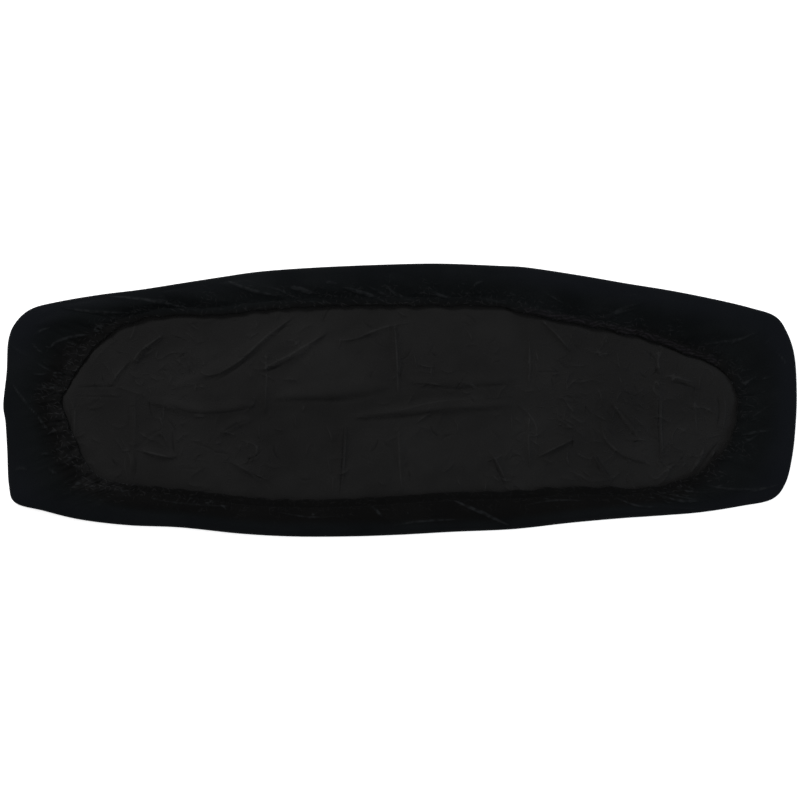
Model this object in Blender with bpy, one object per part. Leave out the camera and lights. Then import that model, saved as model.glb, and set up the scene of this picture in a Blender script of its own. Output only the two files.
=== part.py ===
"""Velvet dust cover for a long keyboard, lying flat on its back with its elastic mouth upwards.

It is one soft sheet. The long back panel lies on the surface, the skirt turns up at a soft outer
fold and comes back over the panel, and it ends in a narrow gathered hem around the mouth.
Metres, +Z up, +X along the keyboard, origin on the surface under the middle of the cover.
"""

import math
from collections import namedtuple

import bmesh
import bpy
import numpy as np
from mathutils import Vector
from mathutils.geometry import delaunay_2d_cdt

# Driving sizes
CLOTH = 0.0020  # velvet with its pile
RIM_HEIGHT = 0.017  # outer fold, over its two layers
RIM_DEPTH = 0.009  # how far in the fold's round side reaches
PANEL_INSET = 0.030  # from the outer fold to the flat of the panel
HEM_WIDTH = 0.015  # turned hem that holds the elastic
HEM_HALF_THICKNESS = 0.0043
HEM_CLEARANCE = 0.0088  # from the surface to the hem's underside, at the foot of a tuck
HEM_ROUND = ((0.72, 1.0), (0.26, 0.92))  # share of its width from the tip, share of its thickness
LOFT_ROUNDNESS = 0.8  # power of the skirt's bulge, flatter on top the smaller it is
FOLD_ROUNDNESS = 0.45  # the same for a fold, from end to end
COLUMNS_PER_TUCK = 4
TUCK_SHAPE = (1.0, 0.15, -0.85, -0.10)  # height of a tuck at its four columns
TUCK_UNEVENNESS = 0.22  # how much shallower than the others a tuck may be, on each side
TUCK_RHYTHM = 2.4  # radians from one tuck to the next, so that no two in a row are alike

# Spacing of the mesh's points
RIM_TURNS = (-90, -45, 0, 45, 90)  # degrees round the outer fold
SKIRT_SHARES = (0.28, 0.56, 0.84)  # of the way from the fold to the hem
FLAT_ROWS = 2  # the panel's edge and the foot of the fold lie on the surface
INNER_ROWS = (11, 10, 9, 8, 7, 6, 5, 3, 1, 0)  # rows that the hidden side keeps
PANEL_PITCH = 0.042  # between the panel's even points
EVEN_SPACING = 0.023  # least distance of those from any other point
FOLD_PITCH = 0.026  # along a fold
LEAST_FOLD_STEPS = 4  # along a short fold
FOLD_STEPS = 24  # along a fold where its height is read
STEPS_PER_STATION = 40  # of the curve from one station to the next
FOLD_SPACING = 0.0075  # least distance between two points of folds
WIDE_FOLD = 0.0175  # half width from which a fold gets points down its slopes

# Once around the cover, clockwise from the middle of the left end. The skirt leaves the outer
# fold at (fold_x, fold_y) and its hem ends at (hem_x, hem_y). loft is how high the skirt bulges
# between the two, tuck how deep the elastic gathers it, and pitch the length of one tuck along
# the outer fold.
Station = namedtuple("Station", "fold_x fold_y hem_x hem_y loft tuck pitch")
STATIONS = (
    # left end, upwards
    Station(-0.700, -0.008, -0.597, 0.002, 0.004, 0.0034, 0.034),
    Station(-0.694, 0.050, -0.586, 0.024, 0.005, 0.0032, 0.036),
    Station(-0.691, 0.105, -0.570, 0.050, 0.003, 0.0030, 0.038),
    Station(-0.678, 0.137, -0.553, 0.076, 0.005, 0.0030, 0.038),
    Station(-0.650, 0.161, -0.532, 0.100, 0.006, 0.0028, 0.040),
    Station(-0.600, 0.174, -0.505, 0.122, 0.005, 0.0024, 0.050),
    # far side, left to right
    Station(-0.529, 0.186, -0.471, 0.138, 0.004, 0.0018, 0.075),
    Station(-0.458, 0.195, -0.430, 0.147, 0.003, 0.0012, 0.110),
    Station(-0.388, 0.206, -0.375, 0.150, 0.003, 0.0008, 0.140),
    Station(-0.317, 0.217, -0.316, 0.150, 0.004, 0.0008, 0.140),
    Station(-0.246, 0.227, -0.250, 0.158, 0.003, 0.0012, 0.130),
    Station(-0.150, 0.234, -0.158, 0.164, 0.002, 0.0016, 0.110),
    Station(-0.034, 0.239, -0.034, 0.167, 0.003, 0.0015, 0.110),
    Station(0.070, 0.241, 0.068, 0.166, 0.004, 0.0015, 0.110),
    Station(0.177, 0.237, 0.166, 0.165, 0.003, 0.0012, 0.120),
    Station(0.226, 0.234, 0.210, 0.155, 0.003, 0.0012, 0.120),
    Station(0.319, 0.220, 0.290, 0.138, 0.004, 0.0014, 0.120),
    Station(0.400, 0.206, 0.366, 0.123, 0.003, 0.0014, 0.120),
    Station(0.480, 0.193, 0.438, 0.106, 0.004, 0.0016, 0.095),
    Station(0.560, 0.177, 0.500, 0.082, 0.005, 0.0020, 0.070),
    Station(0.618, 0.163, 0.541, 0.068, 0.005, 0.0024, 0.050),
    # right end, downwards
    Station(0.662, 0.148, 0.568, 0.052, 0.004, 0.0028, 0.040),
    Station(0.683, 0.119, 0.584, 0.032, 0.004, 0.0030, 0.038),
    Station(0.696, 0.077, 0.593, 0.014, 0.003, 0.0030, 0.038),
    Station(0.700, 0.013, 0.596, -0.008, 0.004, 0.0028, 0.038),
    Station(0.698, -0.045, 0.592, -0.040, 0.003, 0.0028, 0.038),
    Station(0.692, -0.100, 0.582, -0.074, 0.004, 0.0030, 0.038),
    Station(0.680, -0.147, 0.560, -0.101, 0.005, 0.0030, 0.038),
    Station(0.656, -0.175, 0.530, -0.126, 0.006, 0.0028, 0.040),
    Station(0.601, -0.187, 0.494, -0.141, 0.004, 0.0022, 0.055),
    # near side, right to left
    Station(0.531, -0.198, 0.458, -0.151, 0.003, 0.0018, 0.080),
    Station(0.460, -0.204, 0.420, -0.156, 0.002, 0.0014, 0.110),
    Station(0.389, -0.209, 0.370, -0.154, 0.003, 0.0010, 0.120),
    Station(0.300, -0.217, 0.290, -0.154, 0.004, 0.0010, 0.120),
    Station(0.200, -0.228, 0.190, -0.161, 0.003, 0.0012, 0.120),
    Station(0.090, -0.233, 0.084, -0.163, 0.004, 0.0012, 0.120),
    Station(0.000, -0.238, 0.000, -0.169, 0.003, 0.0010, 0.130),
    Station(-0.090, -0.241, -0.088, -0.174, 0.003, 0.0010, 0.130),
    Station(-0.190, -0.241, -0.180, -0.176, 0.002, 0.0010, 0.130),
    Station(-0.282, -0.236, -0.262, -0.172, 0.004, 0.0012, 0.120),
    Station(-0.388, -0.225, -0.345, -0.162, 0.003, 0.0014, 0.110),
    Station(-0.480, -0.221, -0.420, -0.154, 0.003, 0.0018, 0.090),
    Station(-0.564, -0.211, -0.478, -0.148, 0.004, 0.0024, 0.060),
    # left end again, up to its middle
    Station(-0.630, -0.195, -0.518, -0.141, 0.005, 0.0030, 0.042),
    Station(-0.679, -0.181, -0.544, -0.124, 0.006, 0.0034, 0.036),
    Station(-0.690, -0.150, -0.560, -0.101, 0.004, 0.0034, 0.034),
    Station(-0.693, -0.090, -0.577, -0.061, 0.005, 0.0034, 0.034),
    Station(-0.696, -0.040, -0.591, -0.028, 0.004, 0.0034, 0.034),
)

# Soft folds, each a curve through its start, its middle and its end, dying away at both ends.
# Those of the panel are the creases of its packing and the slack between them; those of the
# skirt run aslant between the outer fold and the hem.
Fold = namedtuple("Fold", "x0 y0 x1 y1 x2 y2 height half_width")
PANEL_FOLDS = (
    # packing creases across the panel
    Fold(-0.476, 0.010, -0.472, -0.055, -0.474, -0.130, 0.0034, 0.013),
    Fold(-0.239, 0.028, -0.237, 0.002, -0.239, -0.026, 0.0024, 0.010),
    Fold(-0.010, 0.134, -0.005, 0.085, -0.003, 0.040, 0.0032, 0.013),
    Fold(-0.003, -0.048, 0.001, -0.095, 0.005, -0.138, 0.0034, 0.013),
    Fold(-0.099, -0.042, -0.103, -0.090, -0.106, -0.139, 0.0038, 0.014),
    Fold(0.226, 0.115, 0.228, 0.080, 0.227, 0.044, 0.0024, 0.013),
    Fold(0.228, -0.030, 0.226, -0.075, 0.229, -0.120, 0.0024, 0.013),
    Fold(0.457, 0.062, 0.454, -0.030, 0.463, -0.112, 0.0040, 0.015),
    # slack along the middle of the panel
    Fold(-0.452, 0.000, -0.350, -0.020, -0.256, -0.008, 0.0032, 0.016),
    Fold(-0.222, -0.002, -0.120, 0.010, -0.014, 0.022, 0.0042, 0.019),
    Fold(0.006, 0.030, 0.105, 0.026, 0.218, 0.034, 0.0036, 0.013),
    Fold(-0.084, -0.031, 0.050, -0.018, 0.200, -0.008, 0.0038, 0.014),
    # slanting slack towards the far side
    Fold(-0.510, 0.030, -0.468, 0.074, -0.420, 0.116, 0.0036, 0.020),
    Fold(-0.408, 0.022, -0.310, 0.048, -0.196, 0.132, 0.0044, 0.018),
    Fold(-0.246, 0.052, -0.186, 0.076, -0.128, 0.124, 0.0036, 0.015),
    Fold(-0.104, 0.102, -0.070, 0.116, -0.030, 0.120, 0.0030, 0.015),
    Fold(0.080, 0.082, 0.140, 0.096, 0.200, 0.090, 0.0026, 0.015),
    # short creases towards the near side
    Fold(0.158, -0.090, 0.172, -0.114, 0.186, -0.139, 0.0034, 0.013),
    Fold(0.354, -0.034, 0.378, -0.080, 0.436, -0.112, 0.0036, 0.014),
    Fold(0.370, -0.002, 0.404, -0.034, 0.424, -0.068, 0.0032, 0.013),
    Fold(0.338, -0.088, 0.352, -0.114, 0.372, -0.138, 0.0028, 0.011),
    Fold(0.246, -0.100, 0.274, -0.084, 0.306, -0.070, 0.0028, 0.013),
    Fold(-0.456, -0.088, -0.426, -0.099, -0.392, -0.100, 0.0034, 0.013),
    Fold(-0.328, -0.068, -0.296, -0.048, -0.260, -0.034, 0.0026, 0.015),
    Fold(-0.304, -0.108, -0.272, -0.124, -0.236, -0.136, 0.0028, 0.014),
)
SKIRT_FOLDS = (
    Fold(-0.640, 0.130, -0.590, 0.142, -0.510, 0.138, 0.0040, 0.018),
    Fold(-0.600, 0.166, -0.520, 0.162, -0.420, 0.170, 0.0040, 0.018),
    Fold(-0.420, 0.190, -0.370, 0.180, -0.300, 0.172, 0.0034, 0.018),
    Fold(-0.320, 0.206, -0.270, 0.198, -0.200, 0.180, 0.0040, 0.018),
    Fold(-0.190, 0.204, -0.140, 0.196, -0.060, 0.196, 0.0026, 0.020),
    Fold(-0.030, 0.216, 0.010, 0.200, 0.060, 0.184, 0.0028, 0.020),
    Fold(0.330, 0.150, 0.390, 0.168, 0.440, 0.176, 0.0030, 0.020),
    Fold(0.470, 0.106, 0.550, 0.118, 0.630, 0.116, 0.0034, 0.018),
    Fold(-0.670, 0.090, -0.640, 0.040, -0.624, -0.010, 0.0030, 0.020),
    Fold(0.660, 0.020, 0.652, -0.040, 0.630, -0.090, 0.0026, 0.022),
    Fold(0.610, -0.150, 0.540, -0.168, 0.450, -0.176, 0.0034, 0.016),
    Fold(0.080, -0.178, 0.130, -0.196, 0.200, -0.208, 0.0036, 0.018),
    Fold(-0.060, -0.184, -0.030, -0.204, 0.010, -0.214, 0.0028, 0.018),
    Fold(-0.520, -0.176, -0.440, -0.182, -0.350, -0.190, 0.0032, 0.018),
)

VELVET = {"name": "black_velvet", "colour": (0.0062, 0.0070, 0.0080, 1.0), "roughness": 0.95}


def clear_scene():
    """Starts from an empty scene."""
    for item in list(bpy.data.objects):
        bpy.data.objects.remove(item, do_unlink=True)


def cloth_material(look):
    """A matt cloth of one colour."""
    material = bpy.data.materials.new(look["name"])
    material.use_nodes = True
    shader = material.node_tree.nodes["Principled BSDF"]
    shader.inputs["Base Color"].default_value = look["colour"]
    shader.inputs["Roughness"].default_value = look["roughness"]
    shader.inputs["Metallic"].default_value = 0.0
    return material


def closed_curve(rows, steps_per_row):
    """A smooth closed Catmull-Rom curve through the rows, whatever the number of their columns."""
    knots = np.array(rows, float)
    before, after, beyond = (np.roll(knots, turn, axis=0) for turn in (1, -1, -2))
    samples = []
    for step in range(steps_per_row):
        t = step / steps_per_row
        samples.append(
            0.5
            * (
                2 * knots
                + (after - before) * t
                + (2 * before - 5 * knots + 4 * after - beyond) * t**2
                + (3 * knots - before - 3 * after + beyond) * t**3
            )
        )
    return np.stack(samples, axis=1).reshape(-1, knots.shape[1])


def skirt_columns():
    """The stations resampled so that each tuck has the same number of columns."""
    fine = closed_curve(STATIONS, STEPS_PER_STATION)
    along = np.roll(fine[:, :2], -1, axis=0) - fine[:, :2]
    tucks_per_step = np.linalg.norm(along, axis=1) / fine[:, Station._fields.index("pitch")]
    reached = np.concatenate([[0.0], np.cumsum(tucks_per_step)])
    tucks = round(reached[-1])
    wanted = np.arange(tucks * COLUMNS_PER_TUCK) / COLUMNS_PER_TUCK * reached[-1] / tucks
    looped = np.vstack([fine, fine[:1]])
    return [
        Station(*(float(np.interp(at, reached, looped[:, k])) for k in range(looped.shape[1])))
        for at in wanted
    ]


def fold_curve(fold, steps):
    """Points along a fold, as (x, y, how full it is there)."""
    begin, middle, end = ((fold.x0, fold.y0), (fold.x1, fold.y1), (fold.x2, fold.y2))
    share = np.linspace(0.0, 1.0, steps + 1)[:, None]
    control = 2 * np.array(middle) - (np.array(begin) + np.array(end)) / 2
    path = (1 - share) ** 2 * begin + 2 * share * (1 - share) * control + share**2 * end
    return np.hstack([path, np.sin(math.pi * share) ** FOLD_ROUNDNESS])


FINE_CURVES = {fold: fold_curve(fold, FOLD_STEPS) for fold in PANEL_FOLDS + SKIRT_FOLDS}


def fold_height(x, y, folds):
    """How far the soft folds lift the cloth at a place."""
    height = 0.0
    for fold in folds:
        curve = FINE_CURVES[fold]
        off = np.hypot(curve[:, 0] - x, curve[:, 1] - y)
        nearest = int(np.argmin(off))
        full = curve[nearest, 2]
        reach = fold.half_width * full
        if off[nearest] < reach:
            side = (1 - (off[nearest] / reach) ** 2) ** 2
            height = max(height, fold.height * full * side)
    return height


def tuck_lift(index, depth):
    """Height of the gathered hem at a column: one tuck after another, no two quite alike."""
    tuck, quarter = divmod(index, COLUMNS_PER_TUCK)
    uneven = 1 - TUCK_UNEVENNESS + TUCK_UNEVENNESS * math.sin(TUCK_RHYTHM * tuck)
    return depth * uneven * TUCK_SHAPE[quarter]


def place_on_skirt(column, distance):
    """Where a point of one section stands, that far in from the outer fold."""
    across = Vector((column.hem_x - column.fold_x, column.hem_y - column.fold_y))
    return Vector((column.fold_x, column.fold_y)) + across.normalized() * distance


def section_middle(column, index):
    """The cloth's middle line in one upright section, and the tip of its hem.

    Each row is (distance in from the outer fold, height, half the thickness).
    """
    width = math.hypot(column.hem_x - column.fold_x, column.hem_y - column.fold_y)
    half = CLOTH / 2
    rows = [(PANEL_INSET, half, half)]
    for degrees in RIM_TURNS:
        turn = math.radians(degrees)
        inwards = RIM_DEPTH - (RIM_DEPTH - half) * math.cos(turn)
        height = RIM_HEIGHT / 2 + (RIM_HEIGHT / 2 - half) * math.sin(turn)
        rows.append((inwards, height, half))
    top = RIM_HEIGHT - half
    lift = tuck_lift(index, column.tuck)
    hem_height = HEM_CLEARANCE + HEM_HALF_THICKNESS + column.tuck
    skirt_end = width - HEM_WIDTH
    for share in SKIRT_SHARES:
        distance = RIM_DEPTH + (skirt_end - RIM_DEPTH) * share
        bulge = column.loft * math.sin(math.pi * share) ** LOFT_ROUNDNESS
        aslant = fold_height(*place_on_skirt(column, distance), SKIRT_FOLDS)
        level = top + (hem_height - top + lift) * share**2
        rows.append((distance, level + bulge + aslant, half))
    hem_height += lift
    rows.append((skirt_end, hem_height, half))
    for from_tip, thickness in HEM_ROUND:
        rows.append((width - from_tip * HEM_WIDTH, hem_height, thickness * HEM_HALF_THICKNESS))
    return np.array(rows), (width, hem_height)


def section_outline(column, index):
    """Points of a section: under the panel, round the fold and the hem, and back inside."""
    rows, tip = section_middle(column, index)
    middle, half = rows[:, :2], rows[:, 2:]
    slope = np.gradient(middle, axis=0)
    slope /= np.linalg.norm(slope, axis=1)[:, None]
    outwards = np.stack([-slope[:, 1], slope[:, 0]], axis=1)
    outer = middle + outwards * half
    inner = middle - outwards * half
    for side, height in ((outer, 0.0), (inner, CLOTH)):
        side[:FLAT_ROWS] = middle[:FLAT_ROWS]
        side[:FLAT_ROWS, 1] = height
    return np.vstack([outer, [tip], inner[list(INNER_ROWS)]])


def stand_up(column, outline):
    """The section's points in place between the column's fold point and its hem point."""
    points = []
    for distance, height in outline:
        place = place_on_skirt(column, distance)
        points.append(Vector((place.x, place.y, height)))
    return points


def inside(place, loop):
    """Whether a place lies within a closed loop of points."""
    crossings = 0
    for a, b in zip(loop, loop[1:] + loop[:1]):
        if (a.y > place.y) != (b.y > place.y):
            crossings += place.x < a.x + (place.y - a.y) / (b.y - a.y) * (b.x - a.x)
    return crossings % 2 == 1


def places_on_fold(fold):
    """Points along a fold's crest, down its two slopes and at their feet."""
    length = math.dist((fold.x0, fold.y0), (fold.x1, fold.y1))
    length += math.dist((fold.x1, fold.y1), (fold.x2, fold.y2))
    steps = max(LEAST_FOLD_STEPS, round(length / FOLD_PITCH))
    curve = fold_curve(fold, steps)
    along = np.gradient(curve[:, :2], axis=0)
    along /= np.linalg.norm(along, axis=1)[:, None]
    offsets = (0, 1, -1) if fold.half_width < WIDE_FOLD else (0, 1, -1, 0.5, -0.5)
    places = []
    for (x, y, full), (run_x, run_y) in zip(curve, along):
        for offset in offsets:
            side = offset * fold.half_width * full
            places.append(Vector((x - run_y * side, y + run_x * side)))
    return places


def even_places(edge):
    """An even spread of points over the box around the panel."""
    low_x, high_x = min(p.x for p in edge), max(p.x for p in edge)
    low_y, high_y = min(p.y for p in edge), max(p.y for p in edge)
    across = math.sqrt(3) / 2 * PANEL_PITCH
    places = []
    for row in range(round((high_y - low_y) / across)):
        for step in range(round((high_x - low_x) / PANEL_PITCH)):
            x = low_x + (step + 0.5 * (row % 2)) * PANEL_PITCH
            places.append(Vector((x, low_y + (row + 0.5) * across)))
    return places


def panel_places(edge):
    """The panel's own points: those of its folds first, then an even spread between them."""
    kept = []
    on_folds = [place for fold in PANEL_FOLDS for place in places_on_fold(fold)]
    for places, spacing in ((on_folds, FOLD_SPACING), (even_places(edge), EVEN_SPACING)):
        for place in places:
            near = any((place - other).length < spacing for other in kept + edge)
            if not near and inside(place, edge):
                kept.append(place)
    return kept


def build_cover():
    """The whole cover as one closed sheet."""
    columns = skirt_columns()
    mesh = bmesh.new()
    rings = []
    for index, column in enumerate(columns):
        points = stand_up(column, section_outline(column, index))
        rings.append([mesh.verts.new(point) for point in points])
    for here, there in zip(rings, rings[1:] + rings[:1]):
        for row in range(len(here) - 1):
            mesh.faces.new((here[row], there[row], there[row + 1], here[row + 1]))
    edge = [Vector((ring[0].co.x, ring[0].co.y)) for ring in rings]
    around = [list(range(len(edge)))]
    flat, _, triangles, *_ = delaunay_2d_cdt(edge + panel_places(edge), [], around, 1, 1e-7)
    below = [ring[0] for ring in rings]
    above = [ring[-1] for ring in rings]
    for place in flat[len(edge):]:
        lift = fold_height(place.x, place.y, PANEL_FOLDS)
        below.append(mesh.verts.new((place.x, place.y, lift)))
        above.append(mesh.verts.new((place.x, place.y, CLOTH + lift)))
    for a, b, c in triangles:
        mesh.faces.new((below[a], below[b], below[c]))
        mesh.faces.new((above[a], above[b], above[c]))
    bmesh.ops.triangulate(mesh, faces=mesh.faces[:])
    bmesh.ops.recalc_face_normals(mesh, faces=mesh.faces[:])
    data = bpy.data.meshes.new("cover_cloth")
    mesh.to_mesh(data)
    mesh.free()
    data.shade_smooth()
    data.materials.append(cloth_material(VELVET))
    cover = bpy.data.objects.new("cover_cloth", data)
    bpy.context.scene.collection.objects.link(cover)
    print(f"cover: {len(columns)} columns, {len(flat)} panel points, {len(data.polygons)} triangles")
    return cover


clear_scene()
build_cover()
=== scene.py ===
# %% [markdown]
# # A velvet keyboard cover, laid out with its mouth up
#
# The real object is one long sheet of black velvet with a charcoal knitted back. It is pulled over
# a keyboard like a shower cap: a panel covers the keys, a skirt hangs down all round, and elastic in
# the hem gathers the skirt under the keyboard. Here it lies on its velvet with its mouth up. The
# skirt has come back over the panel, so we see a black band around the charcoal back.
#
# The solids of this part were built first. This script loads them as a fixed frame, and
# it adds the looks: a thin gathered sheet in the same place, its stitching, and its two finishes.

import math

import bpy
import numpy as np
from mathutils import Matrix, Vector
from mathutils.geometry import delaunay_2d_cdt
from mathutils.kdtree import KDTree


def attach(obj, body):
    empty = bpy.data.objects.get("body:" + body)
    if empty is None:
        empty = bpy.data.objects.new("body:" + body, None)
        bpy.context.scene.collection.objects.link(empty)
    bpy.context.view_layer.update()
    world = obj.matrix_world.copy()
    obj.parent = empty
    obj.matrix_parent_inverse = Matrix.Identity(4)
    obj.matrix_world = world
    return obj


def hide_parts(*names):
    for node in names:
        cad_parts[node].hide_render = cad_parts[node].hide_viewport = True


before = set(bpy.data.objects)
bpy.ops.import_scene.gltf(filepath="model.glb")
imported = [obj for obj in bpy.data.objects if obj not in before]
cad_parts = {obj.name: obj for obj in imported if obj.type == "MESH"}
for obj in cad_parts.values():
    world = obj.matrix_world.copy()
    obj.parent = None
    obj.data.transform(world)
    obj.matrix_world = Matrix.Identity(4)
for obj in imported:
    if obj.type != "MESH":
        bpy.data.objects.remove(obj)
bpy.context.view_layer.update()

# %% [markdown]
# ## The cut of the cover
#
# A cover has no straight lines once it is laid down by hand, so its plan is a table of stations
# around the outer fold. Each one says where the fold is, where the hem ends, and how the cloth
# behaves between them. A smooth closed curve through the stations gives every other place. This is
# the same table as that of the solids, with three columns more: how much of its length the elastic
# takes up, which is most at the two ends, how much painted sheen the outer fold gets, and how far
# out from the hem the pile gets painted shade.

# %% Stations around the cover
CLOTH = 0.0016  # thickness of the velvet with its pile
HALF = CLOTH / 2
RIM_HEIGHT = 0.017  # outer fold, over its two layers
RIM_DEPTH = 0.009  # how far in the fold's round side reaches
HEM_WIDTH = 0.015  # turned hem that holds the elastic
HEM_THICKNESS = 0.0044
ROPE_THICKNESS = 0.0058  # of the hem where it is rolled over
HEM_LEVEL = 0.0090  # middle of the hem over the surface, before it is gathered

# Clockwise from the middle of the left end. In metres: x and y of the outer fold, x and y of the
# hem's tip, loft (how high the skirt bulges), tuck and pitch (the depth and the length of its large
# tucks). Then three shares: gather (the extra cloth that the elastic draws into fine tucks), shine
# (how much painted sheen the pile on the outer fold gets, for the light it catches there) and the
# last one (how far out from the hem painted shade makes the pile look black).
LOFT, TUCK, PITCH, GATHER, SHINE, HEM_SHADE = range(4, 10)
STATIONS = (
    # left end, upwards
    (-0.700, -0.008, -0.597, 0.002, 0.004, 0.0034, 0.034, 0.09, 0.35, 0.50),
    (-0.694, 0.050, -0.586, 0.024, 0.005, 0.0032, 0.036, 0.09, 0.35, 0.45),
    (-0.691, 0.105, -0.570, 0.050, 0.003, 0.0030, 0.038, 0.09, 0.80, 0.42),
    (-0.678, 0.137, -0.553, 0.076, 0.005, 0.0030, 0.038, 0.08, 1.00, 0.40),
    (-0.650, 0.161, -0.532, 0.100, 0.006, 0.0028, 0.040, 0.07, 1.00, 0.30),
    (-0.600, 0.174, -0.505, 0.122, 0.005, 0.0024, 0.050, 0.06, 0.70, 0.25),
    # far side, left to right
    (-0.529, 0.186, -0.471, 0.138, 0.004, 0.0018, 0.075, 0.05, 0.45, 0.20),
    (-0.458, 0.195, -0.430, 0.147, 0.003, 0.0012, 0.110, 0.04, 0.35, 0.14),
    (-0.388, 0.206, -0.375, 0.150, 0.003, 0.0008, 0.140, 0.03, 0.30, 0.12),
    (-0.317, 0.217, -0.316, 0.150, 0.004, 0.0008, 0.140, 0.03, 0.35, 0.12),
    (-0.246, 0.227, -0.250, 0.158, 0.003, 0.0012, 0.130, 0.03, 0.30, 0.12),
    (-0.150, 0.234, -0.158, 0.164, 0.002, 0.0016, 0.110, 0.04, 0.30, 0.14),
    (-0.034, 0.239, -0.034, 0.167, 0.003, 0.0015, 0.110, 0.04, 0.30, 0.12),
    (0.070, 0.241, 0.068, 0.166, 0.004, 0.0015, 0.110, 0.04, 0.30, 0.12),
    (0.177, 0.237, 0.166, 0.165, 0.003, 0.0012, 0.120, 0.04, 0.50, 0.12),
    (0.226, 0.234, 0.210, 0.155, 0.003, 0.0012, 0.120, 0.04, 0.80, 0.12),
    (0.319, 0.220, 0.290, 0.138, 0.004, 0.0014, 0.120, 0.03, 0.90, 0.14),
    (0.400, 0.206, 0.366, 0.123, 0.003, 0.0014, 0.120, 0.03, 0.80, 0.20),
    (0.480, 0.193, 0.438, 0.106, 0.004, 0.0016, 0.095, 0.03, 0.80, 0.25),
    (0.560, 0.177, 0.500, 0.082, 0.005, 0.0020, 0.070, 0.04, 0.85, 0.25),
    (0.618, 0.163, 0.541, 0.068, 0.005, 0.0024, 0.050, 0.04, 0.80, 0.22),
    # right end, downwards
    (0.662, 0.148, 0.568, 0.052, 0.004, 0.0028, 0.040, 0.04, 0.90, 0.18),
    (0.683, 0.119, 0.584, 0.032, 0.004, 0.0030, 0.038, 0.04, 1.00, 0.12),
    (0.696, 0.077, 0.593, 0.014, 0.003, 0.0030, 0.038, 0.03, 1.00, 0.08),
    (0.700, 0.013, 0.596, -0.008, 0.004, 0.0028, 0.038, 0.03, 1.00, 0.06),
    (0.698, -0.045, 0.592, -0.040, 0.003, 0.0028, 0.038, 0.03, 1.00, 0.06),
    (0.692, -0.100, 0.582, -0.074, 0.004, 0.0030, 0.038, 0.03, 1.00, 0.06),
    (0.680, -0.147, 0.560, -0.101, 0.005, 0.0030, 0.038, 0.05, 1.00, 0.10),
    (0.656, -0.175, 0.530, -0.126, 0.006, 0.0028, 0.040, 0.05, 0.90, 0.20),
    (0.601, -0.187, 0.494, -0.141, 0.004, 0.0022, 0.055, 0.05, 0.80, 0.35),
    # near side, right to left
    (0.531, -0.198, 0.458, -0.151, 0.003, 0.0018, 0.080, 0.04, 0.50, 0.55),
    (0.460, -0.204, 0.420, -0.156, 0.002, 0.0014, 0.110, 0.03, 0.35, 0.65),
    (0.389, -0.209, 0.370, -0.154, 0.003, 0.0010, 0.120, 0.03, 0.30, 0.75),
    (0.300, -0.217, 0.290, -0.154, 0.004, 0.0010, 0.120, 0.03, 0.20, 0.80),
    (0.200, -0.228, 0.190, -0.161, 0.003, 0.0012, 0.120, 0.03, 0.20, 0.85),
    (0.090, -0.233, 0.084, -0.163, 0.004, 0.0012, 0.120, 0.03, 0.20, 0.85),
    (0.000, -0.238, 0.000, -0.169, 0.003, 0.0010, 0.130, 0.03, 0.20, 0.80),
    (-0.090, -0.241, -0.088, -0.174, 0.003, 0.0010, 0.130, 0.03, 0.20, 0.75),
    (-0.190, -0.241, -0.180, -0.176, 0.002, 0.0010, 0.130, 0.03, 0.30, 0.75),
    (-0.282, -0.236, -0.262, -0.172, 0.004, 0.0012, 0.120, 0.04, 0.35, 0.75),
    (-0.388, -0.225, -0.345, -0.162, 0.003, 0.0014, 0.110, 0.05, 0.35, 0.70),
    (-0.480, -0.221, -0.420, -0.154, 0.003, 0.0018, 0.090, 0.06, 0.40, 0.65),
    (-0.564, -0.211, -0.478, -0.148, 0.004, 0.0024, 0.060, 0.09, 0.45, 0.55),
    # left end again, up to its middle
    (-0.630, -0.195, -0.518, -0.141, 0.005, 0.0030, 0.042, 0.13, 0.60, 0.45),
    (-0.679, -0.181, -0.544, -0.124, 0.006, 0.0034, 0.036, 0.10, 1.00, 0.38),
    (-0.690, -0.150, -0.560, -0.101, 0.004, 0.0034, 0.034, 0.10, 0.90, 0.40),
    (-0.693, -0.090, -0.577, -0.061, 0.005, 0.0034, 0.034, 0.09, 0.50, 0.45),
    (-0.696, -0.040, -0.591, -0.028, 0.004, 0.0034, 0.034, 0.09, 0.40, 0.50),
)
print(len(STATIONS), "stations")

# %% [markdown]
# ## From stations to columns
#
# The sheet's mesh is a ring of columns that run from the panel, round the outer fold, to the hem.
# Fine tucks need close columns and smooth cloth doesn't, so the columns crowd together wherever the
# hem is much shorter than the fold above it. That keeps the mesh light.

# %% A closed curve
def closed_curve(rows, steps_per_row):
    """A smooth closed curve through the rows, whatever the number of their columns."""
    knots = np.array(rows, float)
    before, after, beyond = (np.roll(knots, turn, axis=0) for turn in (1, -1, -2))
    samples = []
    for t in np.arange(steps_per_row) / steps_per_row:
        straight = 2 * knots + (after - before) * t
        bend = (2 * before - 5 * knots + 4 * after - beyond) * t**2
        twist = (3 * knots - before - 3 * after + beyond) * t**3
        samples.append((straight + bend + twist) / 2)
    return np.stack(samples, axis=1).reshape(-1, knots.shape[1])


sample = closed_curve(STATIONS, 8)
print(f"the outer fold reaches from {sample[:, 0].min():.3f} to {sample[:, 0].max():.3f} m")

# %% Columns of the ring
OPEN_SPACING = 0.0038  # between columns where nothing is gathered
GATHERED_SPACING = 0.0026  # of the cloth that the hem is shorter by
STEPS_PER_STATION = 60
TUCK_UNEVENNESS = 0.22  # half the range in which the depths of large tucks differ
TUCK_RHYTHM = 2.4  # radians from one large tuck to the next
TUCK_SHARE = 0.45  # of the large tucks' depth that is left where the hem lies on the panel


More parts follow.
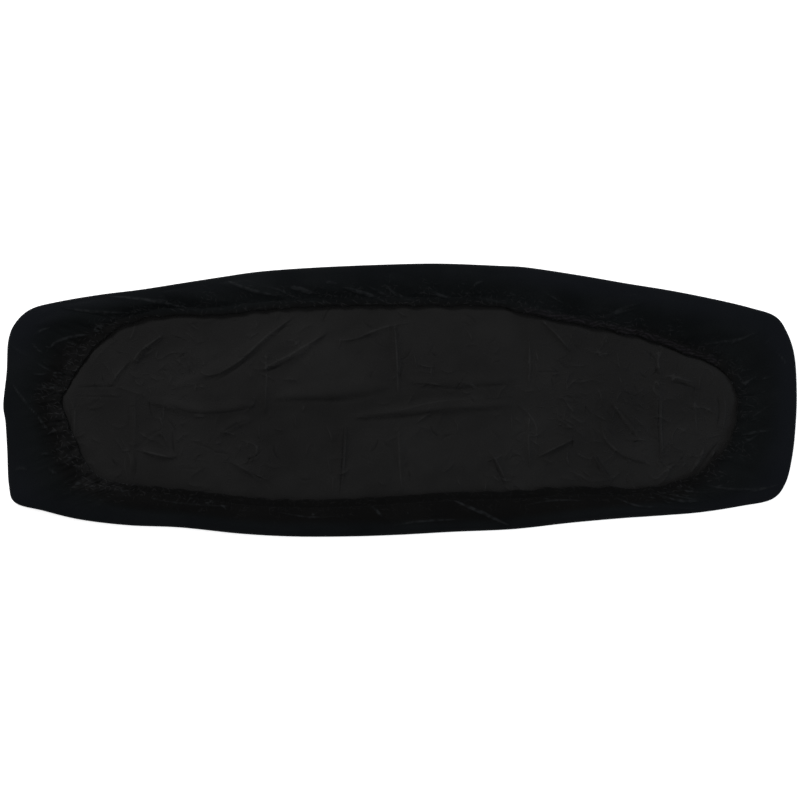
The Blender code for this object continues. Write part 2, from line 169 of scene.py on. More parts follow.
def lay_columns():
    """The stations' curve, resampled to a multiple of four columns."""
    fine = closed_curve(STATIONS, STEPS_PER_STATION)
    ahead = np.roll(fine, -1, axis=0)
    fold_run = np.linalg.norm((ahead - fine)[:, 0:2], axis=1)
    hem_run = np.linalg.norm((ahead - fine)[:, 2:4], axis=1)
    wanted = fold_run / OPEN_SPACING + np.maximum(fold_run - hem_run, 0) / GATHERED_SPACING
    reached, tucks, hem_along = (
        np.concatenate([[0.0], np.cumsum(run)]) for run in (wanted, fold_run / fine[:, PITCH], hem_run)
    )
    at = np.linspace(0, reached[-1], 4 * round(reached[-1] / 4), endpoint=False)
    looped = np.vstack([fine, fine[:1]])
    columns = np.stack([np.interp(at, reached, looped[:, k]) for k in range(fine.shape[1])], axis=1)
    tuck_at = np.interp(at, reached, tucks * round(tucks[-1]) / tucks[-1])
    return columns, tuck_at, np.interp(at, reached, hem_along), hem_along[-1]


columns, tuck_at, hem_at, hem_length = lay_columns()
fold_xy, hem_xy = columns[:, 0:2], columns[:, 2:4]
loft, tuck, gather, shine, hem_shade = (columns[:, k] for k in (LOFT, TUCK, GATHER, SHINE, HEM_SHADE))
COLUMNS = len(columns)
skirt_width = np.linalg.norm(hem_xy - fold_xy, axis=1)
inwards = (hem_xy - fold_xy) / skirt_width[:, None]
print(f"{COLUMNS} columns; the mouth is {hem_length:.2f} m around")

# %% [markdown]
# ## One section of the cloth
#
# Cut the cover anywhere and the cloth makes the same shape: it lies flat as the panel, turns round
# the outer fold, rises over the panel as the skirt, and ends in the turned hem. Each column of the
# mesh is such a section. Only its middle line is laid down here, because the tucks have to be drawn
# in before the cloth gets its thickness.

# %% The middle line of every section
PANEL_INSETS = (0.030, 0.018)  # from the outer fold, where the panel's edge lies on the surface
FOLD_TURNS = np.radians(np.linspace(-90, 90, 9))
SKIRT_ROWS = 30
ROW_CROWDING = 1.15  # above one, the skirt's rows are closer near the hem
BULGE_FULLNESS = 0.8  # below one, the skirt's bulge is fuller than half a wave
SKIRT_SHARES = 1 - (1 - np.arange(1, SKIRT_ROWS + 1) / SKIRT_ROWS) ** ROW_CROWDING
HEM_SHARES = np.array([0.14, 0.32, 0.52, 0.72, 0.88, 0.97])  # from the stitches to the tip

skirt_end = skirt_width - HEM_WIDTH
uneven_tuck = tuck * (1 - TUCK_UNEVENNESS + TUCK_UNEVENNESS * np.sin(TUCK_RHYTHM * np.round(tuck_at)))
tuck_lift = uneven_tuck * np.cos(2 * np.pi * tuck_at)
hem_height = HEM_LEVEL + TUCK_SHARE * (tuck + tuck_lift)
top = RIM_HEIGHT - HALF


def base_section():
    """Distance in from the outer fold and height, for every row and column of the middle line."""
    rows = [(np.full(COLUMNS, inset), np.full(COLUMNS, HALF)) for inset in PANEL_INSETS]
    for turn in FOLD_TURNS:
        inset = RIM_DEPTH - (RIM_DEPTH - HALF) * math.cos(turn)
        height = RIM_HEIGHT / 2 + (RIM_HEIGHT / 2 - HALF) * math.sin(turn)
        rows.append((np.full(COLUMNS, inset), np.full(COLUMNS, height)))
    for share in SKIRT_SHARES:
        bulge = loft * math.sin(math.pi * share) ** BULGE_FULLNESS if share < 1 else 0 * loft
        level = top + (hem_height - top) * share**2
        rows.append((RIM_DEPTH + (skirt_end - RIM_DEPTH) * share, level + bulge))
    for share in HEM_SHARES:
        rows.append((skirt_end + HEM_WIDTH * share, hem_height))
    return np.array(rows)


section = base_section()
base = np.empty((len(section), COLUMNS, 3))
base[..., :2] = fold_xy + inwards * section[:, 0, :, None]
base[..., 2] = section[:, 1]
ROWS = len(base)
SKIRT_START = len(PANEL_INSETS) + len(FOLD_TURNS) - 1  # the row on top of the outer fold
STITCH_ROW = SKIRT_START + len(SKIRT_SHARES)
from_tip = skirt_width - section[:, 0]  # distance from the hem's tip
print(f"{ROWS} rows, of which the skirt has {STITCH_ROW - SKIRT_START} and the hem {len(HEM_SHARES)}")

# %% [markdown]
# ## Unevenness that comes out the same each time
#
# Real tucks are never alike, but they aren't random specks either. Two kinds of noise are enough:
# waves that run around the mouth and close on themselves, and soft dents in all directions. Both
# are sums of sine waves whose lengths and starts come from one generator with a fixed seed.

# %% Waves and dents
SEED = 7
draw = np.random.default_rng(SEED)


def ripples(along, around, pitch, parts=9, spread=0.3):
    """Uneven waves of about one pitch that close on themselves after one turn."""
    turns = np.round(around / pitch * draw.uniform(1 - spread, 1 + spread, parts))
    starts = draw.uniform(0, 2 * np.pi, parts)
    waves = [np.sin(2 * np.pi * turn * along / around + start) for turn, start in zip(turns, starts)]
    return sum(waves) * math.sqrt(2 / parts)


def dents(pitch, parts=14):
    """A function that gives a soft uneven height, of about one pitch in all directions."""
    lengths = 2 * np.pi / (pitch * draw.uniform(0.7, 1.5, parts))
    ways, starts = draw.uniform(0, 2 * np.pi, (2, parts))
    waves = list(zip(lengths * np.cos(ways), lengths * np.sin(ways), starts))

    def height(places):
        x, y = places.T
        return sum(np.sin(a * x + b * y + start) for a, b, start in waves) * math.sqrt(2 / parts)

    return height


print("spread of a wave:", float(ripples(hem_at, hem_length, 0.01).std().round(2)))

# %% [markdown]
# ## Drawing in the elastic
#
# Elastic makes tucks because the cloth is longer than the hem may be. Painted-on tucks never look
# right: real ones start fine at the hem, join into larger ones further out, and lean over. So the
# skirt is relaxed instead, as a net of threads that each want their own length. The threads round
# the mouth are too long for their place, so they buckle; the threads from the fold to the hem and
# a little stiffness carry the buckles outwards. A faint ripple at the start tells them where.
#
# The net could be Blender's own Cloth, but here each thread's length is known beforehand, and a few
# lines of array arithmetic do the same in seconds, with exact limits for the height.

# %% A net of threads
ONCE_ROUND = np.arange(COLUMNS)
EVEN, ODD = ONCE_ROUND[0::2], ONCE_ROUND[1::2]
NEXT, AFTER_NEXT = np.roll(ONCE_ROUND, -1), np.roll(ONCE_ROUND, -2)
FIRST_PAIRS = ONCE_ROUND[(ONCE_ROUND % 4) < 2]
LAST_PAIRS = ONCE_ROUND[(ONCE_ROUND % 4) >= 2]

# How much of its error each kind of thread takes up in one round
HELD = 0.9  # along the rows and across them
SLANTING = 0.12
STIFF_AROUND, STIFF_ACROSS = 0.035, 0.3  # against bending


def lengths_between(points, one, other):
    """Length of each thread from one set of knots to the other."""
    return np.sqrt(((points[other] - points[one]) ** 2).sum(axis=-1))


def pull(points, one, other, rest, share):
    """Moves the knots at both ends of some threads, a share of the way to their rest length."""
    gap = points[other] - points[one]
    length = np.sqrt((gap**2).sum(axis=-1))
    shift = (share / 2 * (1 - rest / length))[..., None] * gap
    points[one] += shift
    points[other] -= shift


def threads(base, extra):
    """All threads of the net: (one end, other end, rest length, share)."""
    rows, every_row = len(base), slice(None)
    plain = lengths_between(base, (every_row, ONCE_ROUND), (every_row, NEXT))
    around = plain * (1 + extra)
    ties = [((every_row, ends), (every_row, NEXT[ends]), around[:, ends], HELD) for ends in (EVEN, ODD)]
    stiff = around + around[:, NEXT]
    for ends in (FIRST_PAIRS, LAST_PAIRS):
        ties.append(((every_row, ends), (every_row, AFTER_NEXT[ends]), stiff[:, ends], STIFF_AROUND))
    for start in (0, 1):
        one = slice(start, start + 2 * ((rows - start) // 2), 2)
        other = slice(start + 1, rows, 2)
        down = lengths_between(base, (one,), (other,))
        ties.append(((one,), (other,), down, HELD))
        longer = (around**2 - plain**2)[one]
        for here, there in ((ONCE_ROUND, NEXT), (NEXT, ONCE_ROUND)):
            slant = np.sqrt(lengths_between(base, (one, here), (other, there)) ** 2 + longer)
            ties.append(((one, here), (other, there), slant, SLANTING))
    for start in (0, 1, 2, 3):
        one = slice(start, rows - 2, 4)
        other = slice(start + 2, rows, 4)
        span = lengths_between(base, (one,), (other,))
        ties.append(((one,), (other,), span, STIFF_ACROSS))
    return ties


print("the net is", len(base) - SKIRT_START, "rows by", COLUMNS, "columns")

# %% Where the tucks start
EXTRA_POWER = 3.4  # how fast the surplus dies away from the hem outwards
BUNCH_PITCH, BUNCHING = 0.07, 0.45  # tucks come in bunches of about this length
SHORT_PITCH, SHORTENING = 0.045, 0.55  # some reach less far out than others
LEAN_PITCH, LEANING = 0.16, 0.45  # and they lean over to one side or the other

# Faint ripples to start from: (height, distance from the hem's tip, reach, pitch, waves)
START_RIPPLES = (
    (0.0011, 0.000, 0.026, 0.0085, 15),
    (0.0016, 0.034, 0.018, 0.0170, 13),
    (0.0016, 0.058, 0.022, 0.0360, 11),
)
START_DENTS = ((0.010, 0.0008), (0.018, 0.0010))  # (pitch, height)
DENT_REACH = 0.05
FULL_GATHER = 0.25  # where the ripples have the heights above

skirt_base = base[SKIRT_START:]
tip_gap = from_tip[SKIRT_START:]
towards_hem = np.clip(1 - (tip_gap - HEM_WIDTH) / (skirt_end - RIM_DEPTH), 0, 1)
bunched = np.clip(1 + BUNCHING * ripples(hem_at, hem_length, BUNCH_PITCH, parts=6), 0.25, 1.7)
shortness = np.clip(1 + SHORTENING * ripples(hem_at, hem_length, SHORT_PITCH, parts=7), 0.4, 2.2)
extra = gather * bunched * towards_hem ** (EXTRA_POWER * shortness)

lean = hem_at + LEANING * tip_gap * ripples(hem_at, hem_length, LEAN_PITCH, parts=5)
start_rise = np.zeros(tip_gap.shape)
for height, gap, reach, pitch, waves in START_RIPPLES:
    strength = height * np.exp(-(((tip_gap - gap) / reach) ** 2))
    start_rise += strength * ripples(lean, hem_length, pitch, waves, 0.5)
flat_places = skirt_base[..., :2].reshape(-1, 2)
for pitch, height in START_DENTS:
    strength = height * np.exp(-((tip_gap / DENT_REACH) ** 2))
    start_rise += strength * dents(pitch)(flat_places).reshape(tip_gap.shape)
start_rise *= gather / FULL_GATHER
print(f"surplus cloth: up to {100 * extra.max():.0f}%")

# %% Relax the skirt
ROUNDS = 260
HOLD_HEM, HOLD_SKIRT = 0.02, 0.006  # share by which each round draws them back to their place
HOLD_UPRIGHT = 0.6  # of that share, for their height
SKIRT_CLEARANCE = 0.0082  # lowest place of the skirt's middle
HEM_CLEARANCE = 0.0078
HIGHEST = 0.0262

skirt = skirt_base.copy()
skirt[..., 2] += start_rise
on_hem = np.arange(len(skirt)) > STITCH_ROW - SKIRT_START
hold = np.where(on_hem, HOLD_HEM, HOLD_SKIRT)[:, None, None] * np.array([1.0, 1.0, HOLD_UPRIGHT])
lowest = np.where(on_hem, HEM_CLEARANCE, SKIRT_CLEARANCE)[:, None]
ties = threads(skirt_base, extra)
for _ in range(ROUNDS):
    for tie in ties:
        pull(skirt, *tie)
    skirt += (skirt_base - skirt) * hold
    np.clip(skirt[..., 2], np.minimum(lowest, skirt_base[..., 2]), HIGHEST, out=skirt[..., 2])
    skirt[:2] = skirt_base[:2]

middle = base.copy()
middle[SKIRT_START:] = skirt
rise = (skirt - skirt_base)[..., 2]
print(f"tucks: {1000 * rise.min():.1f} to {1000 * rise.max():.1f} mm from the smooth skirt")

# %% [markdown]
# ## Folds and creases
#
# The cloth keeps the marks of its packing: sharp lines where it was folded flat in its bag, and
# soft slack between them. Each one is given as a short path, with a height and a half
# width. Broad folds swell softly, and those of the panel lean over to the near side. Sharp creases
# only show in a sheet as thin as this: a ridge stands up, and a trough is a line pressed down
# between two low swells.

# %% Broad folds
def in_metres(value):
    """A number or a whole table, given in millimetres."""
    if isinstance(value, tuple):
        return tuple(in_metres(part) for part in value)
    return round(value / 1000, 7)


# Each row in millimetres: (height, half width, start, middle, end)
PANEL_FOLDS = in_metres((
    # packing creases across the panel
    (3.4, 13, (-476, 10), (-472, -55), (-474, -130)),
    (2.4, 10, (-239, 28), (-237, 2), (-239, -26)),
    (3.2, 13, (-10, 134), (-5, 85), (-3, 40)),
    (3.4, 13, (-3, -48), (1, -95), (5, -138)),
    (3.8, 14, (-99, -42), (-103, -90), (-106, -139)),
    (2.4, 13, (226, 115), (228, 80), (227, 44)),
    (2.4, 13, (228, -30), (226, -75), (229, -120)),
    (4, 15, (457, 62), (454, -30), (463, -112)),
    # slack along the middle of the panel
    (3.6, 21, (-452, 0), (-350, -20), (-256, -8)),
    (4.8, 26, (-222, 3), (-120, 12), (-14, 24)),
    (4, 18, (6, 34), (105, 31), (218, 37)),
    (4.6, 21, (-84, -31), (50, -18), (200, -8)),
    # slanting slack towards the far side
    (3.4, 16, (-512, 24), (-494, 50), (-476, 70)),
    (3.6, 18, (-474, 60), (-448, 91), (-416, 116)),
    (4.4, 20, (-404, 23), (-303, 60), (-190, 147)),
    (3.6, 15, (-246, 52), (-186, 76), (-128, 124)),
    (3, 15, (-104, 102), (-70, 116), (-30, 120)),
    (3.4, 16, (250, 142), (278, 114), (303, 84)),
    (2.4, 12, (466, 38), (494, 34), (524, 20)),
    # short creases towards the near side
    (3.4, 13, (158, -90), (172, -114), (186, -139)),
    (4.4, 18, (354, -34), (378, -80), (436, -112)),
    (4, 16, (370, -2), (404, -34), (424, -68)),
    (3.4, 13, (338, -88), (352, -114), (372, -138)),
    (3.6, 16, (246, -100), (274, -84), (306, -70)),
    (3.4, 13, (-456, -88), (-426, -99), (-392, -100)),
    (2.6, 15, (-328, -68), (-296, -48), (-260, -34)),
    (2.8, 14, (-304, -108), (-272, -124), (-236, -136)),
))
SKIRT_FOLDS = in_metres((
    (4, 18, (-640, 130), (-590, 142), (-510, 138)),
    (4, 18, (-600, 166), (-520, 162), (-420, 170)),
    (3.4, 18, (-420, 190), (-370, 180), (-300, 172)),
    (4, 18, (-320, 206), (-270, 198), (-200, 180)),
    (2.6, 20, (-190, 204), (-140, 196), (-60, 196)),
    (2.8, 20, (-30, 216), (10, 200), (60, 184)),
    (3, 20, (330, 150), (390, 168), (440, 176)),
    (3.4, 18, (470, 106), (550, 118), (630, 116)),
    (3, 20, (-670, 90), (-640, 40), (-624, -10)),
    (2.6, 22, (660, 20), (652, -40), (630, -90)),
    (3.4, 16, (610, -150), (540, -168), (450, -176)),
    (3.6, 18, (80, -178), (130, -196), (200, -208)),
    (2.8, 18, (-60, -184), (-30, -204), (10, -214)),
    (3.2, 18, (-520, -176), (-440, -182), (-350, -190)),
))
print(len(PANEL_FOLDS), "broad folds in the panel,", len(SKIRT_FOLDS), "in the skirt")

# %% Sharp creases of the panel, where it was packed and along its middle
# Each row in millimetres: (height, half width, path); a height below zero is a trough
PACKING_CREASES = in_metres((
    (-0.7, 4, (-480, -12), (-479, -30), (-481, -50)),
    (0.8, 4, (-467, 10), (-468, -24), (-466, -62)),
    (-0.9, 4, (-472, -86), (-467, -112), (-474, -150)),
    (0.9, 4, (-482, -86), (-487, -112), (-480, -148)),
    (0.9, 4.5, (-237, 105), (-236, 27), (-239, -26)),
    (1.3, 4.5, (-10, 135), (-6, 84), (-3, 1)),
    (1.3, 4.5, (-3, -57), (-1, -110), (4, -165)),
    (1, 4.5, (227, 114), (229, 70), (227, 20)),
    (1, 4.5, (229, -22), (227, -71), (230, -124)),
    (-1.5, 2.8, (455, 12), (456, -50), (460, -107)),
    (1.4, 4.2, (460, 10), (461, -43), (465, -100)),
    (1.2, 4.5, (446, 13), (451, 33), (460, 19)),
    (1, 4.5, (456, 93), (456, 66), (458, 34)),
    (-1.9, 2.8, (-99, -40), (-102, -98), (-107, -172)),
    (1.1, 4, (-94.5, -44), (-97.5, -98), (-102, -150)),
    (-1.9, 2.8, (160, -94), (172, -122), (186, -154)),
    (1.2, 3.5, (164, -94), (178, -122), (191, -152)),
    (1.1, 3.5, (-131, -44), (-124, -58), (-119, -76)),
    (1, 3.5, (-119, -132), (-119, -148), (-120, -166)),
))
MIDDLE_CREASES = in_metres((
    (1, 6, (105, 34), (124, 27), (146, 17)),
    (1.2, 6, (4, 27), (41, 31), (94, 22), (156, 27), (223, 31)),
    (-0.8, 11, (-84, -39), (-34, -33), (37, -24), (87, -16), (150, -17), (174, -19)),
    (0.8, 6, (-77, -26), (-13, -20), (57, -4), (132, 3), (199, 6)),
    (-0.9, 6, (-462, 3), (-412, -6), (-368, -22), (-317, -22), (-229, -8)),
    (0.8, 4.5, (-506, 27), (-486, 20), (-465, 13), (-437, 3)),
    (1, 5, (-405, 20), (-373, 27), (-340, 34)),
    (-0.9, 10, (-236, -4), (-165, 2), (-98, 0), (-34, 12)),
    (-1.1, 8, (16, 24), (60, 22), (100, 20), (150, 26), (196, 27)),
    (0.9, 3.5, (61, 24), (78, 18), (95, 12)),
))
print(len(PACKING_CREASES), "packing creases,", len(MIDDLE_CREASES), "along the middle")

# %% Sharp creases of the panel, towards its far side and its two ends
FAR_CREASES = in_metres((
    (1.6, 5, (-330, 41), (-282, 70), (-236, 112), (-186, 150)),
    (-1.2, 6, (-330, 32), (-300, 49), (-268, 73)),
    (1.5, 5, (-243, 56), (-200, 77), (-169, 95), (-126, 121)),
    (-1.2, 6, (-244, 46), (-205, 65), (-172, 84)),
    (1.4, 5, (-120, 106), (-84, 108), (-34, 127), (22, 139)),
    (1.4, 4.5, (-472, 64), (-462, 82), (-446, 95), (-419, 116)),
    (1.2, 4.5, (-508, 29), (-495, 49), (-478, 68)),
    (-1.2, 4, (-572, 22), (-545, 24), (-512, 24), (-484, 26)),
    (-0.9, 3.5, (-566, 6), (-530, 6), (-485, 5)),
    (0.9, 4.5, (-472, 41), (-458, 27), (-448, 38)),
    (0.8, 4.5, (-561, 59), (-539, 87), (-511, 114)),
    (0.7, 4.5, (-550, 56), (-529, 84), (-500, 109)),
    (0.9, 4.5, (-384, 119), (-373, 116), (-361, 102)),
    (0.9, 4.5, (-377, 140), (-365, 130), (-352, 123)),
    (0.8, 4.5, (-402, 87), (-388, 66), (-366, 49)),
    (0.7, 4.5, (-359, 84), (-345, 59), (-352, 41)),
    (0.8, 4.5, (-260, 147), (-253, 133), (-262, 123)),
))
LEFT_CREASES = in_metres((
    (1.3, 5, (-469, -87), (-437, -94), (-398, -103)),
    (-1.3, 4.5, (-402, -54), (-402, -77), (-398, -98)),
    (1, 4.5, (-497, -64), (-483, -86), (-476, -110), (-479, -139)),
    (1, 5, (-303, -107), (-271, -124), (-253, -139), (-236, -144)),
    (-1.2, 5, (-324, -66), (-299, -47), (-262, -33)),
    (0.9, 4.5, (-282, -71), (-257, -79), (-255, -110)),
    (-0.9, 5.5, (-460, -79), (-440, -61), (-416, -50)),
    (-0.9, 3.5, (-366, -76), (-345, -82), (-319, -96)),
))
RIGHT_CREASES = in_metres((
    (1, 4.5, (301, -24), (313, -36), (327, -43)),
    (-1.3, 5, (342, -91), (352, -109), (365, -128), (379, -144)),
    (1.3, 5.5, (356, -40), (361, -64), (379, -86), (407, -103), (433, -110)),
    (1.9, 5, (376, -8), (396, -34), (414, -57), (428, -72)),
    (-0.8, 3.5, (382, -8), (403, -34), (421, -57)),
    (1.3, 4, (206, -5), (232, -30), (241, -48), (240, -79)),
    (-1.2, 3.5, (284, -36), (300, -43), (312, -54)),
    (1.2, 3.5, (286, -32), (302, -39), (314, -50)),
    (0.9, 3.5, (298, -26), (313, -34), (333, -40)),
    (0.9, 3.5, (276, 6), (290, 2), (305, -4)),
    (1, 3.5, (297, 62), (314, 61), (331, 62)),
    (0.9, 3.5, (294, 35), (320, 32), (336, 36), (362, 28)),
    (1, 3.5, (383, 88), (385, 72), (387, 56)),
    (0.9, 3.5, (363, 100), (366, 110), (372, 118)),
    (1, 3.5, (345, 96), (352, 82), (360, 72)),
    (1.2, 4, (252, 138), (276, 116), (300, 86)),
    (1.1, 4, (466, 44), (494, 38), (524, 30)),
    (-1, 4, (476, 32), (500, 27), (522, 20)),
    (1, 4.5, (297, -124), (319, -133), (338, -146)),
    (1.2, 5, (237, -103), (269, -87), (305, -70)),
    (-1, 3.5, (237, 49), (260, 50), (283, 49)),
    (1, 5, (520, 13), (522, -26), (527, -66)),
    (0.9, 4.5, (531, 52), (543, 56), (552, 45), (545, 27)),
    (2.2, 5.5, (538, -84), (529, -104), (514, -130)),
    (1.8, 4.5, (556, -88), (551, -102)),
    (-1.6, 4.2, (567, -70), (548, -92), (537, -110), (522, -131)),
    (1.4, 5, (458, -134), (472, -124), (489, -111), (509, -104)),
    (0.8, 4.5, (488, -61), (502, -54), (513, -43)),
    (0.8, 4.5, (474, -71), (492, -86), (509, -89)),
    (1, 4.5, (435, -124), (453, -139), (467, -128), (485, -121)),
    (0.7, 4.5, (294, -4), (305, -22), (301, -36)),
    (0.8, 4.5, (283, -40), (308, -50), (326, -64)),
))
MOUTH_CREASES = in_metres((
    (1.2, 4.5, (-578, -75), (-575, -36), (-575, -15), (-585, 6)),
    (-1, 4.5, (-589, 3), (-582, -22), (-583, -57), (-571, -89)),
    (-1.2, 5, (559, 13), (564, -22), (559, -54)),
    (1, 4.5, (569, 20), (575, -19), (569, -61)),
))
PANEL_CREASES = PACKING_CREASES + MIDDLE_CREASES + FAR_CREASES
PANEL_CREASES += LEFT_CREASES + RIGHT_CREASES + MOUTH_CREASES
print(len(PANEL_CREASES), "creases in the whole panel")

# %% Sharp creases of the skirt
SKIRT_CREASES = in_metres((
    # left end
    (1.5, 5.5, (-596, 162), (-546, 156), (-476, 153)),
    (1.3, 5, (-647, 110), (-628, 123), (-608, 128)),
    (1.4, 5, (-649, 102), (-638, 91), (-626, 80)),
    (1.5, 5, (-626, 80), (-603, 102), (-573, 112), (-539, 116)),
    (1, 4.5, (-642, 68), (-628, 59), (-613, 50)),
    (1, 4.5, (-649, 47), (-631, 45), (-613, 47)),
    (1.6, 5, (-684, 34), (-670, 13), (-654, -8), (-638, -26)),
    (1.3, 4.5, (-642, -20), (-631, -36), (-617, -57)),
    (1.1, 4.5, (-635, -96), (-621, -94), (-603, -98)),
    (1.5, 5, (-622, -112), (-613, -123), (-599, -132)),
    (1.4, 7, (-679, -124), (-666, -119), (-652, -123)),
    (1, 5, (-688, 102), (-666, 84), (-645, 73)),
    # far side
    (1.5, 5.5, (-536, 183), (-493, 181), (-412, 170), (-352, 156)),
    (-1.2, 5, (-458, 167), (-388, 160), (-342, 147)),
    (1.8, 5.5, (-313, 214), (-282, 200), (-250, 190), (-211, 183)),
    (2, 8.5, (-196, 199), (-176, 195), (-154, 189)),
    (1.8, 6.5, (-132, 206), (-121, 206), (-110, 204)),
    (2.1, 6, (-105, 199), (-77, 192), (-43, 181), (-17, 169)),
    (1.9, 5, (-31, 207), (-3, 184), (43, 172)),
    (1.7, 5.5, (49, 193), (73, 184), (98, 176)),
    (1.8, 5.5, (128, 182), (160, 176), (194, 169)),
    (1.2, 5, (151, 210), (132, 203), (126, 192)),
    (1.4, 4.5, (-360, 166), (-330, 161), (-296, 163)),
    (1, 5, (-66, 204), (-34, 190), (-6, 177), (22, 172)),
    (1.6, 5, (-176, 176), (-137, 172), (-94, 169)),
    (1, 5, (-243, 200), (-211, 193), (-179, 176)),
    (1, 5, (248, 190), (269, 181), (294, 165)),
    # far side, right
    (1.4, 5, (331, 142), (361, 147), (393, 162), (430, 172)),
    (1.1, 5, (354, 137), (386, 154), (425, 162)),
    (1.4, 5, (525, 98), (566, 102), (610, 110)),
    (1.2, 4.5, (573, 94), (601, 109), (636, 123)),
    (1.1, 4.5, (636, 93), (645, 102), (658, 112)),
    # right end
    (1.4, 4.5, (652, 89), (668, 77), (681, 56)),
    (1.2, 4.5, (605, 24), (613, 34), (626, 40)),
    (1, 4.5, (633, 34), (647, 40), (661, 43)),
    (1, 4.5, (615, -33), (633, -20), (656, -3)),
    (1.1, 5, (592, -64), (622, -57), (659, -52)),
    (1.1, 4.5, (601, -79), (619, -68), (633, -57)),
    (1.1, 5.5, (531, -149), (583, -156), (649, -154)),
    (1.1, 5, (605, -163), (636, -156), (672, -146)),
    (1, 3.5, (464, -164), (511, -173), (548, -175)),
    (0.9, 3.5, (479, -156), (527, -162), (564, -159)),
    (0.9, 3.5, (458, -188), (532, -191), (585, -188)),
    # near side
    (1.3, 5, (451, -165), (488, -176), (531, -177)),
    (1.2, 5, (375, -170), (418, -186), (460, -188)),
    (1.8, 5.5, (82, -172), (142, -197), (202, -225)),
    (1.5, 5, (-54, -184), (-41, -195), (-27, -209)),
    (1.3, 5, (-24, -222), (36, -213), (112, -209)),
    (1, 5, (-440, -174), (-370, -183), (-282, -188)),
    (1, 5, (-229, -195), (-158, -206), (-84, -202)),
    (1, 5, (213, -186), (269, -177), (336, -177)),
))
print(len(SKIRT_CREASES), "creases in the skirt")

# %% Along a fold and away from it
END_FULLNESS = 0.45  # below one, a fold keeps its height until close to its ends


def smooth_path(points, steps=24):
    """A curve through the points, and how full the fold is at each place along it."""
    knots = np.array(points, float)
    run = np.concatenate([[0], np.cumsum(np.linalg.norm(np.diff(knots, axis=0), axis=1))])
    slope = np.gradient(knots, run, axis=0)
    at = np.linspace(0, run[-1], steps + 1)
    k = np.clip(np.searchsorted(run, at, side="right") - 1, 0, len(run) - 2)
    span = (run[k + 1] - run[k])[:, None]
    t = ((at - run[k]) / span[:, 0])[:, None]
    path = (2 * t**3 - 3 * t**2 + 1) * knots[k] + (t**3 - 2 * t**2 + t) * span * slope[k]
    path += (3 * t**2 - 2 * t**3) * knots[k + 1] + (t**3 - t**2) * span * slope[k + 1]
    return path, np.clip(np.sin(np.pi * at / run[-1]), 0, 1) ** END_FULLNESS


def nearest_on_path(places, path, full):
    """Distance from each place to the path, how full the fold is there, and if it's on its right."""
    best = np.full(len(places), np.inf)
    fullness = np.zeros(len(places))
    on_right = np.zeros(len(places), bool)
    for k, (start, end) in enumerate(zip(path, path[1:])):
        step = end - start
        share = np.clip(((places - start) @ step) / max(step @ step, 1e-12), 0, 1)
        off = np.linalg.norm(places - start - share[:, None] * step, axis=1)
        closer = off < best
        best[closer] = off[closer]
        fullness[closer] = (full[k] + (full[k + 1] - full[k]) * share)[closer]
        aside = (places - start) @ (step[1], -step[0])
        on_right[closer] = aside[closer] > 0
    return best, fullness, on_right


path, full = smooth_path(PANEL_FOLDS[0][2:])
print("points on a path:", len(path), "and its fullness:", full.round(2)[:5])

# %% How far folds lift the cloth
SWELL_WIDTH = 2.6  # of the swells beside a trough, in half widths of the trough
SWELL_HEIGHT = 0.8  # of the swells, in depths of the trough
LINE_HEIGHT = 0.0013  # a crease of this height gets a full line of painted highlight or shade
CREST_POWER = 1.5  # above one, the sides of a sharp crest are hollow

# How sharp each kind is, from 0, which is round, to 1, which is pointed
SKIRT_FOLD_SHARP, PANEL_FOLD_SHARP, SMALL_SHARP, CREASE_SHARP = 0.3, 0.4, 0.7, 0.8


def lift_and_line(places, table, sharp, right=1.0):
    """Height of a table's folds at each place, and how much of a crest (1) or trough (-1) it is.

    A share below one for the right makes that flank steeper, as seen along the path.
    """
    raised, pressed, line = np.zeros((3, len(places)))
    for height, half_width, *points in table:
        path, full = smooth_path(points)
        reach = half_width * SWELL_WIDTH
        near = np.all((places > path.min(axis=0) - reach) & (places < path.max(axis=0) + reach), axis=1)
        near = np.flatnonzero(near)
        off, fullness, on_right = nearest_on_path(places[near], path, full)
        share = np.clip(off / (half_width * fullness * np.where(on_right, right, 1.0) + 1e-6), 0, 1)
        rounded = (1 - share**2) ** 2
        pointed = (1 - share) ** CREST_POWER
        shape = rounded + (pointed - rounded) * sharp
        line[near] += height / LINE_HEIGHT * fullness * pointed
        if height > 0:
            raised[near] = np.maximum(raised[near], height * fullness * shape)
        else:
            swell = np.clip(off / (reach * fullness + 1e-6), 0, 1)
            pressed[near] += height * fullness * (pointed - SWELL_HEIGHT * (1 - swell**2) ** 2)
    return raised + pressed, np.clip(line, -1, 1)


def lift(places, table, sharp, right=1.0):
    """Height of all folds of a table, at each place."""
    return lift_and_line(places, table, sharp, right)[0]


test = lift(np.array([[-0.103, -0.090], [0.0, 0.0]]), PANEL_FOLDS, PANEL_FOLD_SHARP)
print("lift on a fold and beside it:", [f"{1000 * h:.1f} mm" for h in test])

# %% [markdown]
# Between the creases that are large enough to place, the cloth is full of small ones. They are
# drawn at random from the same generator, and not evenly: the panel is crumpled in a few patches,
# and the skirt near its hem, most of all at the gathered ends.

